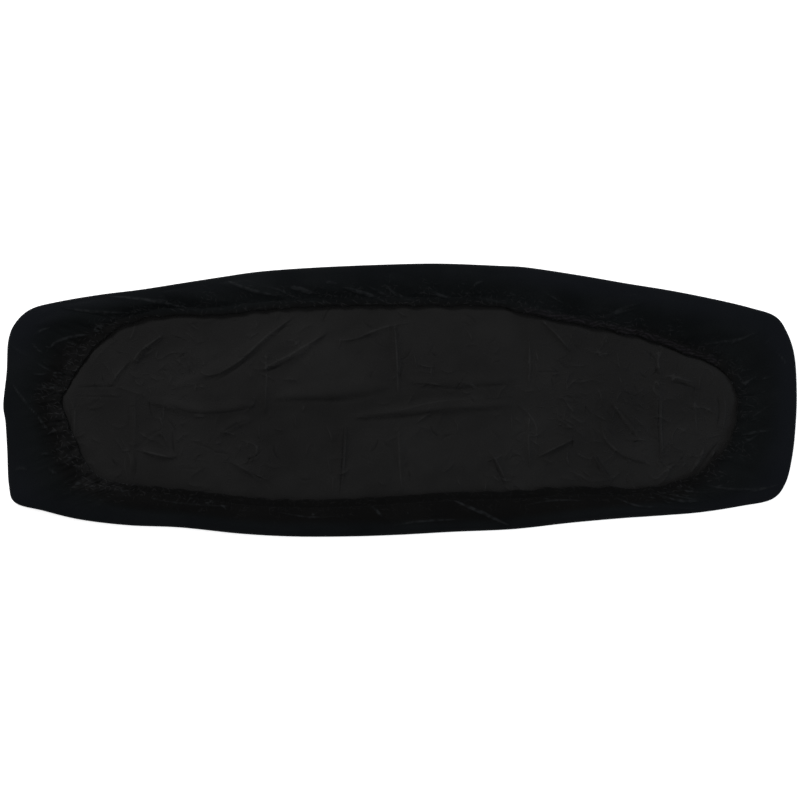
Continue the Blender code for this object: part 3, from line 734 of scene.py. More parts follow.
# %% Where the cloth is crumpled
# The panel's crumpled patches, in metres: (x, y, reach), and how crumpled each one is
CRUMPLED = (
    (-0.405, 0.048, 0.110, 1.0), (-0.387, -0.066, 0.070, 0.9), (-0.567, -0.050, 0.075, 0.7),
    (-0.273, -0.128, 0.090, 0.7), (-0.500, 0.080, 0.080, 0.5), (-0.220, 0.100, 0.090, 0.4),
    (-0.008, 0.087, 0.060, 0.5), (-0.040, -0.080, 0.070, 0.4), (0.100, 0.020, 0.080, 0.5),
    (0.213, -0.116, 0.080, 0.6), (0.271, 0.003, 0.090, 1.0), (0.403, -0.064, 0.140, 1.0),
    (0.470, 0.060, 0.090, 0.8), (0.340, 0.080, 0.090, 0.8), (0.552, -0.054, 0.090, 0.9),
)
CALM = 0.15  # how crumpled the panel is elsewhere
PATCH_EDGE = 1.5  # the larger, the faster a patch fades within its reach


def smooth_step(value, low, high):
    """Rises softly from 0 at low to 1 at high."""
    t = np.clip((value - low) / (high - low), 0, 1)
    return t * t * (3 - 2 * t)


def crumpled(places):
    """How crumpled the panel is at each place, from 0 to 1."""
    total = CALM
    for x, y, reach, strength in CRUMPLED:
        off = ((places - (x, y)) ** 2).sum(axis=1)
        total = total + strength * np.exp(-off / (reach / PATCH_EDGE) ** 2)
    return np.clip(total, 0, 1)


# How much each column's skirt was handled: most at the gathered ends, least where the painted shade near
# the hem reaches far
handled = np.clip(0.25 + 5 * gather, 0, 1) * (1 - 0.6 * smooth_step(hem_shade, 0.5, 0.8))
print("crumpled patches:", len(CRUMPLED))
print(f"the skirt's handling: {handled.min():.2f} to {handled.max():.2f}")

# %% Small crinkles
STROKE_LEAN = -0.15  # radians by which those of the skirt slant from the cover's length


def crinkle(x, y, way, half, height, half_width):
    """A row for a table of creases: a short bent one through x, y, with half its length."""
    run = half * np.array([math.cos(way), math.sin(way)])
    bend = draw.uniform(-0.3, 0.3) * np.array([-run[1], run[0]])
    centre = np.array([x, y])
    return (height, half_width, centre - run, centre + bend, centre + run)


def panel_crinkles(count):
    """Short creases in all directions, where the panel is crumpled; a third are troughs."""
    table = []
    while len(table) < count:
        x, y = draw.uniform((-0.58, -0.165), (0.58, 0.155))
        chance = draw.uniform()
        way, half = draw.uniform(0, np.pi), draw.uniform(0.006, 0.018)
        height = draw.uniform(0.0004, 0.0014) * draw.choice([1, 1, -1])
        row = crinkle(x, y, way, half, height, draw.uniform(0.0026, 0.0045))
        if chance < crumpled(np.array([[x, y]]))[0]:
            table.append(row)
    return table


def skirt_crinkles(count):
    """Short creases of the skirt near its hem, most of them along the cover."""
    table = []
    while len(table) < count:
        k = draw.integers(COLUMNS)
        off = draw.uniform(0.004, 0.012) + draw.exponential(0.018)
        way, half = STROKE_LEAN + draw.normal(0, 0.5), draw.uniform(0.004, 0.010)
        height, half_width = draw.uniform(0.0005, 0.0012), draw.uniform(0.0022, 0.0034)
        if draw.uniform() < handled[k] and off < skirt_width[k] - 0.02:
            x, y = hem_xy[k] - inwards[k] * off
            table.append(crinkle(x, y, way, half, height, half_width))
    return table


PANEL_CRINKLES = panel_crinkles(500)
SKIRT_CRINKLES = skirt_crinkles(420)
print(len(PANEL_CRINKLES), "crinkles in the panel,", len(SKIRT_CRINKLES), "in the skirt")

# %% [markdown]
# The panel lies on the surface in its own slack: it swells along its middle, where the skirt doesn't
# weigh on it, and it has soft dents all over. Its folds stand on that, and they are pressed down
# again where they run under the hem.

# %% How far the panel is lifted
# Slack along the panel's middle: height, place of its crest, reach to the far and the near side
MIDDLE_SWELL = (0.0075, 0.018, 0.085, 0.040)
SLACK, BROAD_SLACK, NARROW_SLACK = 0.0012, 0.0005, 0.0004  # everywhere, and by how much it differs
broad_slack, narrow_slack = dents(0.110), dents(0.045)
FOLD_GAIN, CREASE_GAIN = 1.4, 1.8  # the panel's heights, in those of the tables
NEAR_FLANK = 0.55  # the broad folds lean over to the near side
FULL_LIFT, OVER_LIFT = 0.0100, 0.45  # only this share is left of what would rise above the first
PRESSED = 0.35  # share of the folds that is left under the hem
mouth_tree = KDTree(COLUMNS)
for column, (x, y) in enumerate(hem_xy):
    mouth_tree.insert((x, y, 0), column)
mouth_tree.balance()


def inside_mouth(places):
    """How far each place lies inside the mouth; less than zero under the skirt."""
    nearest = np.array([mouth_tree.find((x, y, 0))[1] for x, y in places])
    return ((places - hem_xy[nearest]) * inwards[nearest]).sum(axis=1)


def panel_lift(places):
    """How far the panel's own folds lift it off the surface."""
    height, crest_y, far_reach, near_reach = MIDDLE_SWELL
    from_crest = places[:, 1] - crest_y
    swell = height * np.exp(-((from_crest / np.where(from_crest > 0, far_reach, near_reach)) ** 2))
    slack = SLACK + BROAD_SLACK * broad_slack(places) + NARROW_SLACK * narrow_slack(places)
    folds = FOLD_GAIN * lift(places, PANEL_FOLDS, PANEL_FOLD_SHARP, NEAR_FLANK)
    folds = np.minimum(swell + folds, FULL_LIFT + OVER_LIFT * (swell + folds - FULL_LIFT))
    small = CREASE_GAIN * lift(places, PANEL_CRINKLES, SMALL_SHARP)
    folds += CREASE_GAIN * lift(places, PANEL_CREASES, CREASE_SHARP) + small
    pressed = PRESSED + (1 - PRESSED) * smooth_step(inside_mouth(places), -0.004, 0.010)
    return np.maximum(slack + folds, 0) * pressed


test = panel_lift(np.array([[0.0, 0.02], [0.0, 0.20]]))
print("the panel's lift in its middle and under the skirt:", [f"{1000 * h:.1f} mm" for h in test])

# %% Raise the folds of the skirt
SKIRT_SLACK, SKIRT_SLACK_PITCH = 0.0005, 0.075
FADE_ROWS = 3  # from the outer fold, over which the folds come up
HEM_SHARE = 0.35  # of the folds' height that the hem takes part in

places = middle[SKIRT_START:].reshape(-1, 3)[:, :2]
creases, lines = lift_and_line(places, SKIRT_CREASES, SMALL_SHARP)
crinkled, short_lines = lift_and_line(places, SKIRT_CRINKLES, SMALL_SHARP)
raised = lift(places, SKIRT_FOLDS, SKIRT_FOLD_SHARP) + creases + crinkled
raised += SKIRT_SLACK * dents(SKIRT_SLACK_PITCH)(places)
raised = raised.reshape(len(skirt), COLUMNS)
fade = np.clip((np.arange(len(skirt)) - 1) / FADE_ROWS, 0, 1)[:, None]
fade = fade * np.where(on_hem, HEM_SHARE, 1.0)[:, None]
middle[SKIRT_START:, :, 2] += raised * fade
print(f"folds of the skirt rise up to {1000 * (raised * fade).max():.1f} mm")

# %% [markdown]
# ## From a middle line to a cloth with two sides
#
# A sheet has thickness, and this one has two different sides. Each row is therefore laid twice, half
# a thickness out along the surface's normal and half a thickness in. The hem is thicker, because it
# is turned over its elastic: its rows bulge between the stitches and the tip. Along the far right
# the elastic has rolled the hem over like a rope, so that strands of its back show there.

# %% Thickness of every row
HEM_BULGE = np.array([0.62, 0.92, 1.0, 0.93, 0.72, 0.38])  # of half the hem's thickness
RUCHE = 0.30  # how much the hem's thickness changes from tuck to tuck
RUCHE_PITCH, RUCHE_LEAN = 0.0085, 0.006
ROPE_STRAND, STRAND_DRIFT = 0.030, 2.0  # length of one strand of the rolled hem, and its unevenness
ROPE_SLANT = 14.0  # radians by which a strand runs on from the stitches to the tip
ROPE_DEPTH = 0.42
HEM_SINKS = 0.75  # share of the hem's thickness that bulges down and not up
HEM_WANDERS, WANDER_PITCH = 0.0009, 0.045  # how far the mouth's edge strays
THINNEST, THICKEST = 0.5, 1.35  # of the hem, in its own thickness
ROLL_FROM, ROLL_TO, ROLL_END = 0.205, 0.570, 0.030  # in x, where the far hem is rolled

rolled = smooth_step(hem_xy[:, 0], ROLL_FROM, ROLL_FROM + ROLL_END)
rolled *= 1 - smooth_step(hem_xy[:, 0], ROLL_TO - ROLL_END, ROLL_TO)
rolled *= hem_xy[:, 1] > 0

strand_drift = STRAND_DRIFT * ripples(hem_at, hem_length, 0.05, parts=5)
strand_phase = 2 * np.pi * hem_at / ROPE_STRAND + strand_drift
across_hem = np.concatenate([np.zeros(STITCH_ROW + 1), HEM_SHARES])[:, None]
strands = np.sin(strand_phase + ROPE_SLANT * across_hem)
ruching = ripples(hem_at + RUCHE_LEAN * across_hem, hem_length, RUCHE_PITCH)

half = np.full((ROWS, COLUMNS), HALF)
full_half = (HEM_THICKNESS + (ROPE_THICKNESS - HEM_THICKNESS) * rolled) / 2
bulge = full_half * HEM_BULGE[:, None]
uneven = 1 + RUCHE * (0.4 + gather) * ruching + ROPE_DEPTH * rolled * strands
half[STITCH_ROW + 1:] = bulge * np.clip(uneven[STITCH_ROW + 1:], THINNEST, THICKEST)
middle[..., 2] -= HEM_SINKS * (1 - rolled) * np.maximum(half - HALF, 0)
wander = HEM_WANDERS * ripples(hem_at, hem_length, WANDER_PITCH)
middle[..., :2] += inwards * (wander * across_hem)[..., None]
print(f"hem: {2000 * half[STITCH_ROW + 1:].min():.1f} to {2000 * half.max():.1f} mm thick")

# %% The two sides of the cloth
TIP_SHARE = 0.03  # how far the tip goes on past the hem's last row


def normals_of(points):
    """Outward normals of a net of rows and columns that closes on itself."""
    around = np.roll(points, -1, axis=1) - np.roll(points, 1, axis=1)
    normals = np.cross(np.gradient(points, axis=0), around)
    return normals / np.linalg.norm(normals, axis=-1, keepdims=True)


thick = np.clip((half - HALF) / (full_half - HALF), 0, 1)[..., None]
outwards = normals_of(middle) * (1 - thick) + normals_of(base) * thick
outwards /= np.linalg.norm(outwards, axis=-1, keepdims=True)
outwards[: len(PANEL_INSETS)] = (0, 0, -1)
velvet_side = middle + outwards * half[..., None]
back_side = middle - outwards * half[..., None]
tip = middle[-1] + TIP_SHARE * (middle[-1] - middle[-2]) / (HEM_SHARES[-1] - HEM_SHARES[-2])
print(f"highest point: {1000 * velvet_side[..., 2].max():.1f} mm")

# %% [markdown]
# ## The panel
#
# The panel fills the ring. Its top is what we see through the mouth, so it gets a close lattice of
# points there and an open one where the skirt hides it. Triangles join them with the ring's own
# edge, so that panel and skirt are one cloth without a seam.

# %% Lattices for the panel
FINE_PITCH = 0.0053
WIDE_PITCH = 0.0110
UNDERSIDE_PITCH = 0.0130


def lattice(pitch):
    """Points of an even triangular lattice over the cover's box."""
    low, high = fold_xy.min(axis=0), fold_xy.max(axis=0)
    rows = np.arange(low[1], high[1], pitch * math.sqrt(3) / 2)
    steps = np.arange(low[0], high[0], pitch)
    x = steps[None, :] + np.where(np.arange(len(rows)) % 2, pitch / 2, 0)[:, None]
    return np.stack([x.ravel(), np.repeat(rows, len(steps))], axis=1)


def inside(places, loop):
    """Which places lie within a closed loop."""
    crossings = np.zeros(len(places), int)
    for a, b in zip(loop, np.roll(loop, -1, axis=0)):
        level = (a[1] > places[:, 1]) != (b[1] > places[:, 1])
        slope = (b[0] - a[0]) / (b[1] - a[1]) if b[1] != a[1] else 0
        crossings += level & (places[:, 0] < a[0] + (places[:, 1] - a[1]) * slope)
    return crossings % 2 == 1


def near_any(places, others, gap):
    """Which places lie nearer than a gap to any of the others."""
    tree = KDTree(len(others))
    for index, other in enumerate(others):
        tree.insert((*other, 0), index)
    tree.balance()
    return np.array([tree.find((*place, 0))[2] < gap for place in places])


print("points in the close lattice:", len(lattice(FINE_PITCH)))

# %% Points on the creases
CREST_PITCH = 0.0040  # along a crease
SAME_PLACE = 0.4  # points nearer than this share of a half width are one
LOOK_BACK = 400  # as many earlier points are compared with each new one


def points_on_creases(table):
    """Points along every crease, on its crest and half way down both sides."""
    points, gaps = [], []
    for height, half_width, *path in table:
        length = sum(math.dist(a, b) for a, b in zip(path, path[1:]))
        curve, _ = smooth_path(path, max(4, round(length / CREST_PITCH)))
        along = np.gradient(curve, axis=0)
        side = np.stack([-along[:, 1], along[:, 0]], axis=1)
        side *= half_width / 2 / np.linalg.norm(along, axis=1)[:, None]
        points += [curve, curve + side, curve - side]
        gaps += [SAME_PLACE * half_width] * (3 * len(curve))
    kept = []
    for point, gap in zip(np.vstack(points), gaps):
        if all(math.dist(point, other) > gap for other in kept[-LOOK_BACK:]):
            kept.append(point)
    return np.array(kept)


print("points on the first crease:", len(points_on_creases(PANEL_CREASES[:1])))

# %% Lay the panel's points
CREST_GAP = 0.0026  # least distance of other points from a crease
EDGE_GAP = 0.006  # between the lattice and the ring
SEEN_MARGIN = 0.010  # how far under the hem the close lattice goes

inner_loop = fold_xy + inwards * (PANEL_INSETS[0] + EDGE_GAP)
seen_loop = hem_xy - inwards * SEEN_MARGIN
skipped_loop = seen_loop - inwards * WIDE_PITCH / 2
fine, wide, below = (lattice(pitch) for pitch in (FINE_PITCH, WIDE_PITCH, UNDERSIDE_PITCH))
crests = points_on_creases(PANEL_CREASES + tuple(PANEL_CRINKLES))
crests = crests[inside(crests, seen_loop)]
fine = fine[inside(fine, seen_loop)]
fine = fine[~near_any(fine, crests, CREST_GAP)]
wide = wide[inside(wide, inner_loop) & ~inside(wide, skipped_loop)]
below = below[inside(below, inner_loop)]
above = np.vstack([crests, fine, wide])
print(f"panel: {len(above)} points above, {len(below)} below")

# %% Join the panel to the ring
EDGE_STEP = 4  # the panel meets every fourth column
UNDERSIDE_REACH = 0.006  # the underside stays as low as the lowest place this near


def join_to_ring(places):
    """Triangles of a disc inside the ring's edge, as indices into edge plus places."""
    edge = middle[0, ::EDGE_STEP, :2]
    points = [Vector(place) for place in np.vstack([edge, places]).tolist()]
    flat, _, triangles, *_ = delaunay_2d_cdt(points, [], [list(range(len(edge)))], 1, 1e-7)
    assert len(flat) == len(points), "the ring's edge and the lattice share a point"
    return np.array(triangles)


def lowest_lift(places):
    """The panel's lift at places, or beside them where that is lower, for its underside."""
    turns = np.radians(np.arange(0, 360, 60))
    steps = UNDERSIDE_REACH * np.stack([np.cos(turns), np.sin(turns)], axis=1)
    return np.min([panel_lift(places + step) for step in (np.zeros(2), *steps)], axis=0)


triangles_above, triangles_below = join_to_ring(above), join_to_ring(below)
points_above = np.column_stack([above, CLOTH + panel_lift(above)])
points_below = np.column_stack([below, lowest_lift(below)])
print(f"panel: highest fold {1000 * (points_above[:, 2].max() - CLOTH):.1f} mm")

# %% [markdown]
# ## One closed sheet
#
# All rows now become one mesh: the velvet side from the panel's edge round to the hem's tip, the
# back from there to the panel again, and the two discs. Every face is one of two materials. Six
# numbers are kept on each point for the materials: how much of a crest or a trough it is, for a
# painted highlight or painted shade, how much painted shade it gets near the hem, how crushed it
# is, how much painted sheen it gets on the outer fold, how far the hem is rolled, and where in a
# strand of that roll the point lies.

# %% Rings of the sheet
# From the middle of the underside, out and over to the mouth, and back inside: (row, step), where
# a ring with step 2 or 4 has every second or fourth column. Steps only double or halve.
FRONT = [(0, 4), (1, 4), (2, 2), (3, 2)] + [(row, 1) for row in range(4, ROWS)]
TURNED_IN = 3  # bands of the back that are still velvet, because the hem is turned over
SHELTER = 3  # rows on either side that a hidden ring stays below
BACK = [(ROWS - 1, 1), (ROWS - 3, 1), (ROWS - 5, 1), (STITCH_ROW, 2)]
BACK += [(row, 4) for row in range(STITCH_ROW - 2, SKIRT_START, -3)]
BACK += [(row, 4) for row in (SKIRT_START, SKIRT_START - 3, SKIRT_START - 6, 1, 0)]


def hidden_ring(row, step):
    """A ring of the back: as low as the lowest of the places around it, to stay under the velvet."""
    ring = back_side[row].copy()
    if step > 1 and row > SKIRT_START:
        first, last = max(row - SHELTER, SKIRT_START), min(row + SHELTER, STITCH_ROW)
        lowest = back_side[first:last + 1, :, 2].min(axis=0)
        ring[:, 2] = np.min([np.roll(lowest, turn) for turn in range(-step, step + 1)], axis=0)
    return ring[::step]


rings = [velvet_side[row][::step] for row, step in FRONT]
rings.append(tip)
rings += [hidden_ring(row, step) for row, step in BACK]
ring_rows = FRONT + [(ROWS - 1, 1)] + BACK
ring_starts = np.concatenate([[0], np.cumsum([len(ring) for ring in rings])])
print(f"{len(rings)} rings, {ring_starts[-1]} points")

# %% What the pile looks like at each point
FULL_CREST = 0.0014  # a tuck this much higher than its neighbours is a full crest
CREST_COLUMNS = 2  # how far off those neighbours are
CREST_GATHER = 0.15  # where tucks show fully
CREST_LEAN, CREST_PITCH = 0.3, 0.03  # crests show in one patch and not in the next
HEM_LINES = 0.6  # share of the painted crest and trough lines that the hem shows
CRUSH_START, CRUSH_GATHER, CRUSH_DRIFT = 0.034, 0.16, 0.010  # how far out the pile is crushed

fold_to_hem = np.clip((section[:, 0] - RIM_DEPTH) / (skirt_width - RIM_DEPTH), 0, 1)
fold_to_hem[:SKIRT_START] = 0
levels = middle[..., 2]
neighbours = np.roll(levels, CREST_COLUMNS, axis=1) + np.roll(levels, -CREST_COLUMNS, axis=1)
creased = np.clip((levels - neighbours / 2) / FULL_CREST, 0, 1) * smooth_step(fold_to_hem, 0.3, 0.6)
patches = ripples(hem_at + CREST_LEAN * from_tip, hem_length, CREST_PITCH)
creased *= np.clip(gather / CREST_GATHER, 0, 1) * np.clip(0.30 + 0.3 * patches, 0, 1)
both_lines = (lines + short_lines).reshape(len(skirt), COLUMNS)
creased[SKIRT_START:] = np.clip(creased[SKIRT_START:] + both_lines, -1, 1)
creased[STITCH_ROW:] *= HEM_LINES
drift = CRUSH_DRIFT * ripples(hem_at, hem_length, 0.06, parts=6)
crush_reach = CRUSH_START + CRUSH_GATHER * gather + drift
on_rope = rolled * smooth_step(across_hem, 0.10, 0.30) * (1 - smooth_step(across_hem, 0.80, 1.0))
row_values = {
    # crests get a painted highlight and troughs painted shade
    "creased": creased,
    # painted shade: the pile is darker towards the hem
    "hem_shade": smooth_step(fold_to_hem, 0.88 - hem_shade, 1.18 - hem_shade),
    "crushed": handled * (1 - smooth_step(from_tip, 0.4 * crush_reach, crush_reach)),
    # painted sheen: the pile is lighter along the outer fold
    "fold_sheen": shine * (1 - smooth_step(fold_to_hem, 0.05, 0.55)),
    "rolled": on_rope,
    "strand": strand_phase + ROPE_SLANT * across_hem,
}
for name, rows in row_values.items():
    print(f"{name}: {rows.min():.2f} to {rows.max():.2f}")

# %% Faces between the rings
def ring_values(rows):
    """A value of each row, given to the rings on both sides of the sheet."""
    return np.concatenate([rows[row][::step] for row, step in ring_rows])


def band(ring):
    """Faces between a ring and the next one, which may have half or twice as many columns."""
    here, there = (ring_starts[k] + np.arange(len(rings[k])) for k in (ring, ring + 1))
    here_next, there_next = np.roll(here, -1), np.roll(there, -1)
    if len(here) == len(there):
        return np.stack([here, there, there_next, here_next], axis=1).tolist()
    if len(here) > len(there):
        start, half_way, end = here[0::2], here[1::2], here_next[1::2]
        fans = ((start, there, half_way), (half_way, there, there_next), (half_way, there_next, end))
    else:
        start, half_way, end = there[0::2], there[1::2], there_next[1::2]
        fans = ((here, start, half_way), (here, half_way, here_next), (here_next, half_way, end))
    return np.concatenate([np.stack(fan, axis=1) for fan in fans]).tolist()


def disc_faces(triangles, edge, edge_start, first):
    """A disc's triangles: the first points are those of a ring, the others its own."""
    return np.where(triangles < edge, triangles + edge_start, triangles - edge + first)


print("faces of the first band:", len(band(0)))

# %% The cover's mesh
SMALL_LINES = 0.9  # how strongly the small crinkles get painted highlight and shade, next to the large creases


def panel_lines():
    """How much of a crest or a trough each point of the panel's upper side is."""
    small = lift_and_line(above, PANEL_CRINKLES, SMALL_SHARP)[1]
    large = lift_and_line(above, PANEL_CREASES, CREASE_SHARP)[1]
    return np.clip(large + SMALL_LINES * small, -1, 1)


def build_cover():
    """The cover as one closed mesh with its two sides and its attributes."""
    first_above = ring_starts[-1]
    first_below = first_above + len(above)
    points = np.vstack([*rings, points_above, points_below])
    bands = [band(ring) for ring in range(len(rings) - 1)]
    over = disc_faces(triangles_above, len(rings[-1]), ring_starts[-2], first_above)
    under = disc_faces(triangles_below, len(rings[0]), 0, first_below)[:, ::-1]
    faces = sum(bands, []) + over.tolist() + under.tolist()
    mesh = bpy.data.meshes.new("velvet_cover")
    mesh.from_pydata(points.tolist(), [], faces)
    of_velvet = sum(len(faces_of_band) for faces_of_band in bands[:len(FRONT) + TURNED_IN])
    side = np.arange(len(faces)) >= of_velvet
    side[len(faces) - len(under):] = False
    mesh.polygons.foreach_set("material_index", side.astype(np.int32))
    of_panel = {"creased": panel_lines(), "crushed": crumpled(above)}
    for name, rows in row_values.items():
        attribute = mesh.attributes.new(name, "FLOAT", "POINT")
        flat = np.zeros(len(points), np.float32)
        flat[:first_above] = ring_values(rows).ravel()
        if name in of_panel:
            flat[first_above:first_below] = of_panel[name]
        attribute.data.foreach_set("value", flat)
    mesh.shade_smooth()
    mesh.validate()
    cover = bpy.data.objects.new("velvet_cover", mesh)
    bpy.context.scene.collection.objects.link(cover)
    return cover


cover = build_cover()
triangle_count = sum(len(face.vertices) - 2 for face in cover.data.polygons)
print(f"cover: {len(cover.data.vertices)} points, {triangle_count} triangles")

# %% [markdown]
# ## The stitching of the hem
#
# The hem is held by one row of stitches in black thread, which sinks into the pile. A stitch is the
# same small shape hundreds of times along a line, which is what Geometry Nodes are for: resample
# the line, put a short rounded piece of thread on each point, turn it along the line, and realize
# the copies so that they become a plain mesh.

# %% Nodes and wires
def add_nodes(tree, **kinds):
    """New nodes by name, for a tree whose links are made by wire."""
    return {name: tree.nodes.new(kind) for name, kind in kinds.items()}


def wire(tree, nodes, links):
    """Links written as 'node.Socket > node.Socket', one on each line."""
    for row in links.split("\n"):
        (start, output), (end, socket) = (side.strip().split(".") for side in row.split(">"))
        output, socket = (int(label) if label.isdigit() else label for label in (output, socket))
        tree.links.new(nodes[start].outputs[output], nodes[end].inputs[socket])


print("helpers: add_nodes, wire")

# %% A node tree for stitches
STITCH_SIZES = {"Spacing": 0.0034, "Length": 0.0026, "Thickness": 0.0007}
STITCH_SEED = 3
SHORTEST, LONGEST = 0.8, 1.1  # of the stitches, as shares of that length


def new_stitch_tree(material):
    """Puts one rounded stitch on every point of a resampled line."""
    tree = bpy.data.node_groups.new("row_of_stitches", "GeometryNodeTree")
    face = tree.interface
    face.new_socket("Geometry", in_out="INPUT", socket_type="NodeSocketGeometry")
    sockets = {}
    for name, value in (*STITCH_SIZES.items(), ("Seed", STITCH_SEED)):
        kind = "NodeSocketInt" if name == "Seed" else "NodeSocketFloat"
        socket = face.new_socket(name, in_out="INPUT", socket_type=kind)
        socket.default_value = value
        sockets[name] = socket.identifier
    face.new_socket("Geometry", in_out="OUTPUT", socket_type="NodeSocketGeometry")
    nodes = add_nodes(
        tree, given="NodeGroupInput", line="GeometryNodeMeshToCurve", even="GeometryNodeResampleCurve",
        stitch="GeometryNodeMeshUVSphere", tangent="GeometryNodeInputTangent",
        turn="FunctionNodeAlignRotationToVector", vary="FunctionNodeRandomValue",
        longer="ShaderNodeMath", size="ShaderNodeCombineXYZ", place="GeometryNodeInstanceOnPoints",
        real="GeometryNodeRealizeInstances", smooth="GeometryNodeSetShadeSmooth",
        finish="GeometryNodeSetMaterial", result="NodeGroupOutput",
    )
    nodes["even"].mode = "LENGTH"
    nodes["turn"].axis = "Z"
    nodes["vary"].data_type = "FLOAT"
    nodes["longer"].operation = "MULTIPLY"
    for name, socket, value in (
        ("stitch", "Segments", 6), ("stitch", "Rings", 4), ("stitch", "Radius", 0.5),
        ("vary", 2, SHORTEST), ("vary", 3, LONGEST), ("finish", "Material", material),
    ):
        nodes[name].inputs[socket].default_value = value
    wire(tree, nodes, """given.Geometry > line.Mesh
        line.Curve > even.Curve
        given.Spacing > even.Length
        even.Curve > place.Points
        stitch.Mesh > place.Instance
        tangent.Tangent > turn.Vector
        turn.Rotation > place.Rotation
        given.Seed > vary.Seed
        given.Length > longer.0
        vary.1 > longer.1
        given.Thickness > size.X
        given.Thickness > size.Y
        longer.Value > size.Z
        size.Vector > place.Scale
        place.Instances > real.Geometry
        real.Geometry > smooth.Geometry
        smooth.Geometry > finish.Geometry
        finish.Geometry > result.Geometry""")
    return tree, sockets


print("sizes of a stitch:", STITCH_SIZES)

# %% Lay the stitches along the hem
def lay_stitches(material):
    """A closed line on top of the stitch row, dressed by the node tree, as a plain mesh."""
    line = bpy.data.meshes.new("stitch_line")
    line.from_pydata(velvet_side[STITCH_ROW].tolist(), np.stack([ONCE_ROUND, NEXT], axis=1).tolist(), [])
    guide = bpy.data.objects.new("stitch_line", line)
    bpy.context.scene.collection.objects.link(guide)
    tree, sockets = new_stitch_tree(material)
    dress = guide.modifiers.new("row_of_stitches", "NODES")
    dress.node_group = tree
    for name, value in (*STITCH_SIZES.items(), ("Seed", STITCH_SEED)):
        dress[sockets[name]] = value
    bpy.context.view_layer.update()
    dressed = guide.evaluated_get(bpy.context.evaluated_depsgraph_get())
    mesh = bpy.data.meshes.new_from_object(dressed)
    mesh.name = "hem_stitches"
    mesh.materials.clear()
    mesh.materials.append(material)
    mesh.polygons.foreach_set("material_index", np.zeros(len(mesh.polygons), np.int32))
    bpy.data.objects.remove(guide)
    stitches = bpy.data.objects.new("hem_stitches", mesh)
    bpy.context.scene.collection.objects.link(stitches)
    return stitches


print("stitches wanted:", round(hem_length / STITCH_SIZES["Spacing"]))

# %% [markdown]
# ## Two finishes of one cloth
#
# Velvet is the darkest of cloths, because light that falls between its hairs doesn't come back. It
# is only seen where hairs lie over and catch the light. So its base colour is almost black, and that
# light is painted into it from the numbers on the mesh: a painted sheen along the outer fold, painted
# highlights on the crests of creases and on the strokes of crushed pile, and painted shade near the
# hem and in the troughs. A faint cool sheen of the shader lies over all, and where it was handled and
# crushed the pile is lighter between the strokes. The back is a plain knit, matt and a little
# lighter, with the same painted highlights and shade on its creases. The finishes share three node
# groups, each with its own sizes: one for uneven dye, one for the grain of the yarn, and one for the
# short straight strokes of crushed cloth.

# %% Numbers in a node tree
def math_node(tree, operation, *values):
    """A Math node; each value is a number or the socket to read."""
    node = tree.nodes.new("ShaderNodeMath")
    node.operation = operation
    for socket, value in zip(node.inputs, values):
        if isinstance(value, (int, float)):
            socket.default_value = value
        else:
            tree.links.new(value, socket)
    return node.outputs["Value"]


def times(tree, first, *others):
    """The product of sockets and numbers."""
    for other in others:
        first = math_node(tree, "MULTIPLY", first, other)
    return first


def plus(tree, first, second):
    """The sum of two sockets or numbers."""
    return math_node(tree, "ADD", first, second)


def per_metre(tree, size):
    """How many times a size goes into a metre."""
    return math_node(tree, "DIVIDE", 1.0, size)


print("helpers: math_node, times, plus, per_metre")

# %% Noise, and groups with named inputs
def object_place(tree):
    """Object coordinates, which are metres in the part's own frame."""
    return tree.nodes.new("ShaderNodeTexCoord").outputs["Object"]


def noise_node(tree, scale, detail=2.0, roughness=0.5):
    """A noise texture on object coordinates; scale is per metre."""
    node = tree.nodes.new("ShaderNodeTexNoise")
    node.inputs["Detail"].default_value = detail
    node.inputs["Roughness"].default_value = roughness
    tree.links.new(object_place(tree), node.inputs["Vector"])
    if isinstance(scale, (int, float)):
        node.inputs["Scale"].default_value = scale
    else:
        tree.links.new(scale, node.inputs["Scale"])
    return node.outputs["Fac"]


def new_group(name, result, **inputs):
    """A shader node group with named number inputs, underscores for spaces, and one number out."""
    group = bpy.data.node_groups.new(name, "ShaderNodeTree")
    for label, value in inputs.items():
        label = label.replace("_", " ")
        socket = group.interface.new_socket(label, in_out="INPUT", socket_type="NodeSocketFloat")
        socket.default_value = value
    group.interface.new_socket(result, in_out="OUTPUT", socket_type="NodeSocketFloat")
    given = group.nodes.new("NodeGroupInput").outputs
    return group, given, group.nodes.new("NodeGroupOutput").inputs[result]


print("helpers: object_place, noise_node, new_group")

# %% Uneven dye, shared by both sides and the thread
def uneven_dye_group():
    """A mask around one half: large patches of handling with a fine speckle of single yarns."""
    group, given, mask = new_group("uneven_dye", "Mask", Patch_Size=0.09, Speckle_Size=0.0015,
                                   Patch_Strength=0.5, Speckle_Strength=0.2)
    patches = noise_node(group, per_metre(group, given["Patch Size"]), detail=3.0, roughness=0.55)
    speckle = noise_node(group, per_metre(group, given["Speckle Size"]), detail=1.0)
    patches = times(group, math_node(group, "SUBTRACT", patches, 0.5), given["Patch Strength"])
    speckle = times(group, math_node(group, "SUBTRACT", speckle, 0.5), given["Speckle Strength"])
    total = plus(group, plus(group, patches, speckle), 0.5)
    total = math_node(group, "MINIMUM", total, 1.0)
    group.links.new(math_node(group, "MAXIMUM", total, 0.0), mask)
    return group


uneven_dye = uneven_dye_group()
print("group:", uneven_dye.name)

# %% Grain of the yarn, shared too
def apart(tree, vector):
    """The outputs X, Y and Z of a vector."""
    node = tree.nodes.new("ShaderNodeSeparateXYZ")
    tree.links.new(vector, node.inputs["Vector"])
    return node.outputs


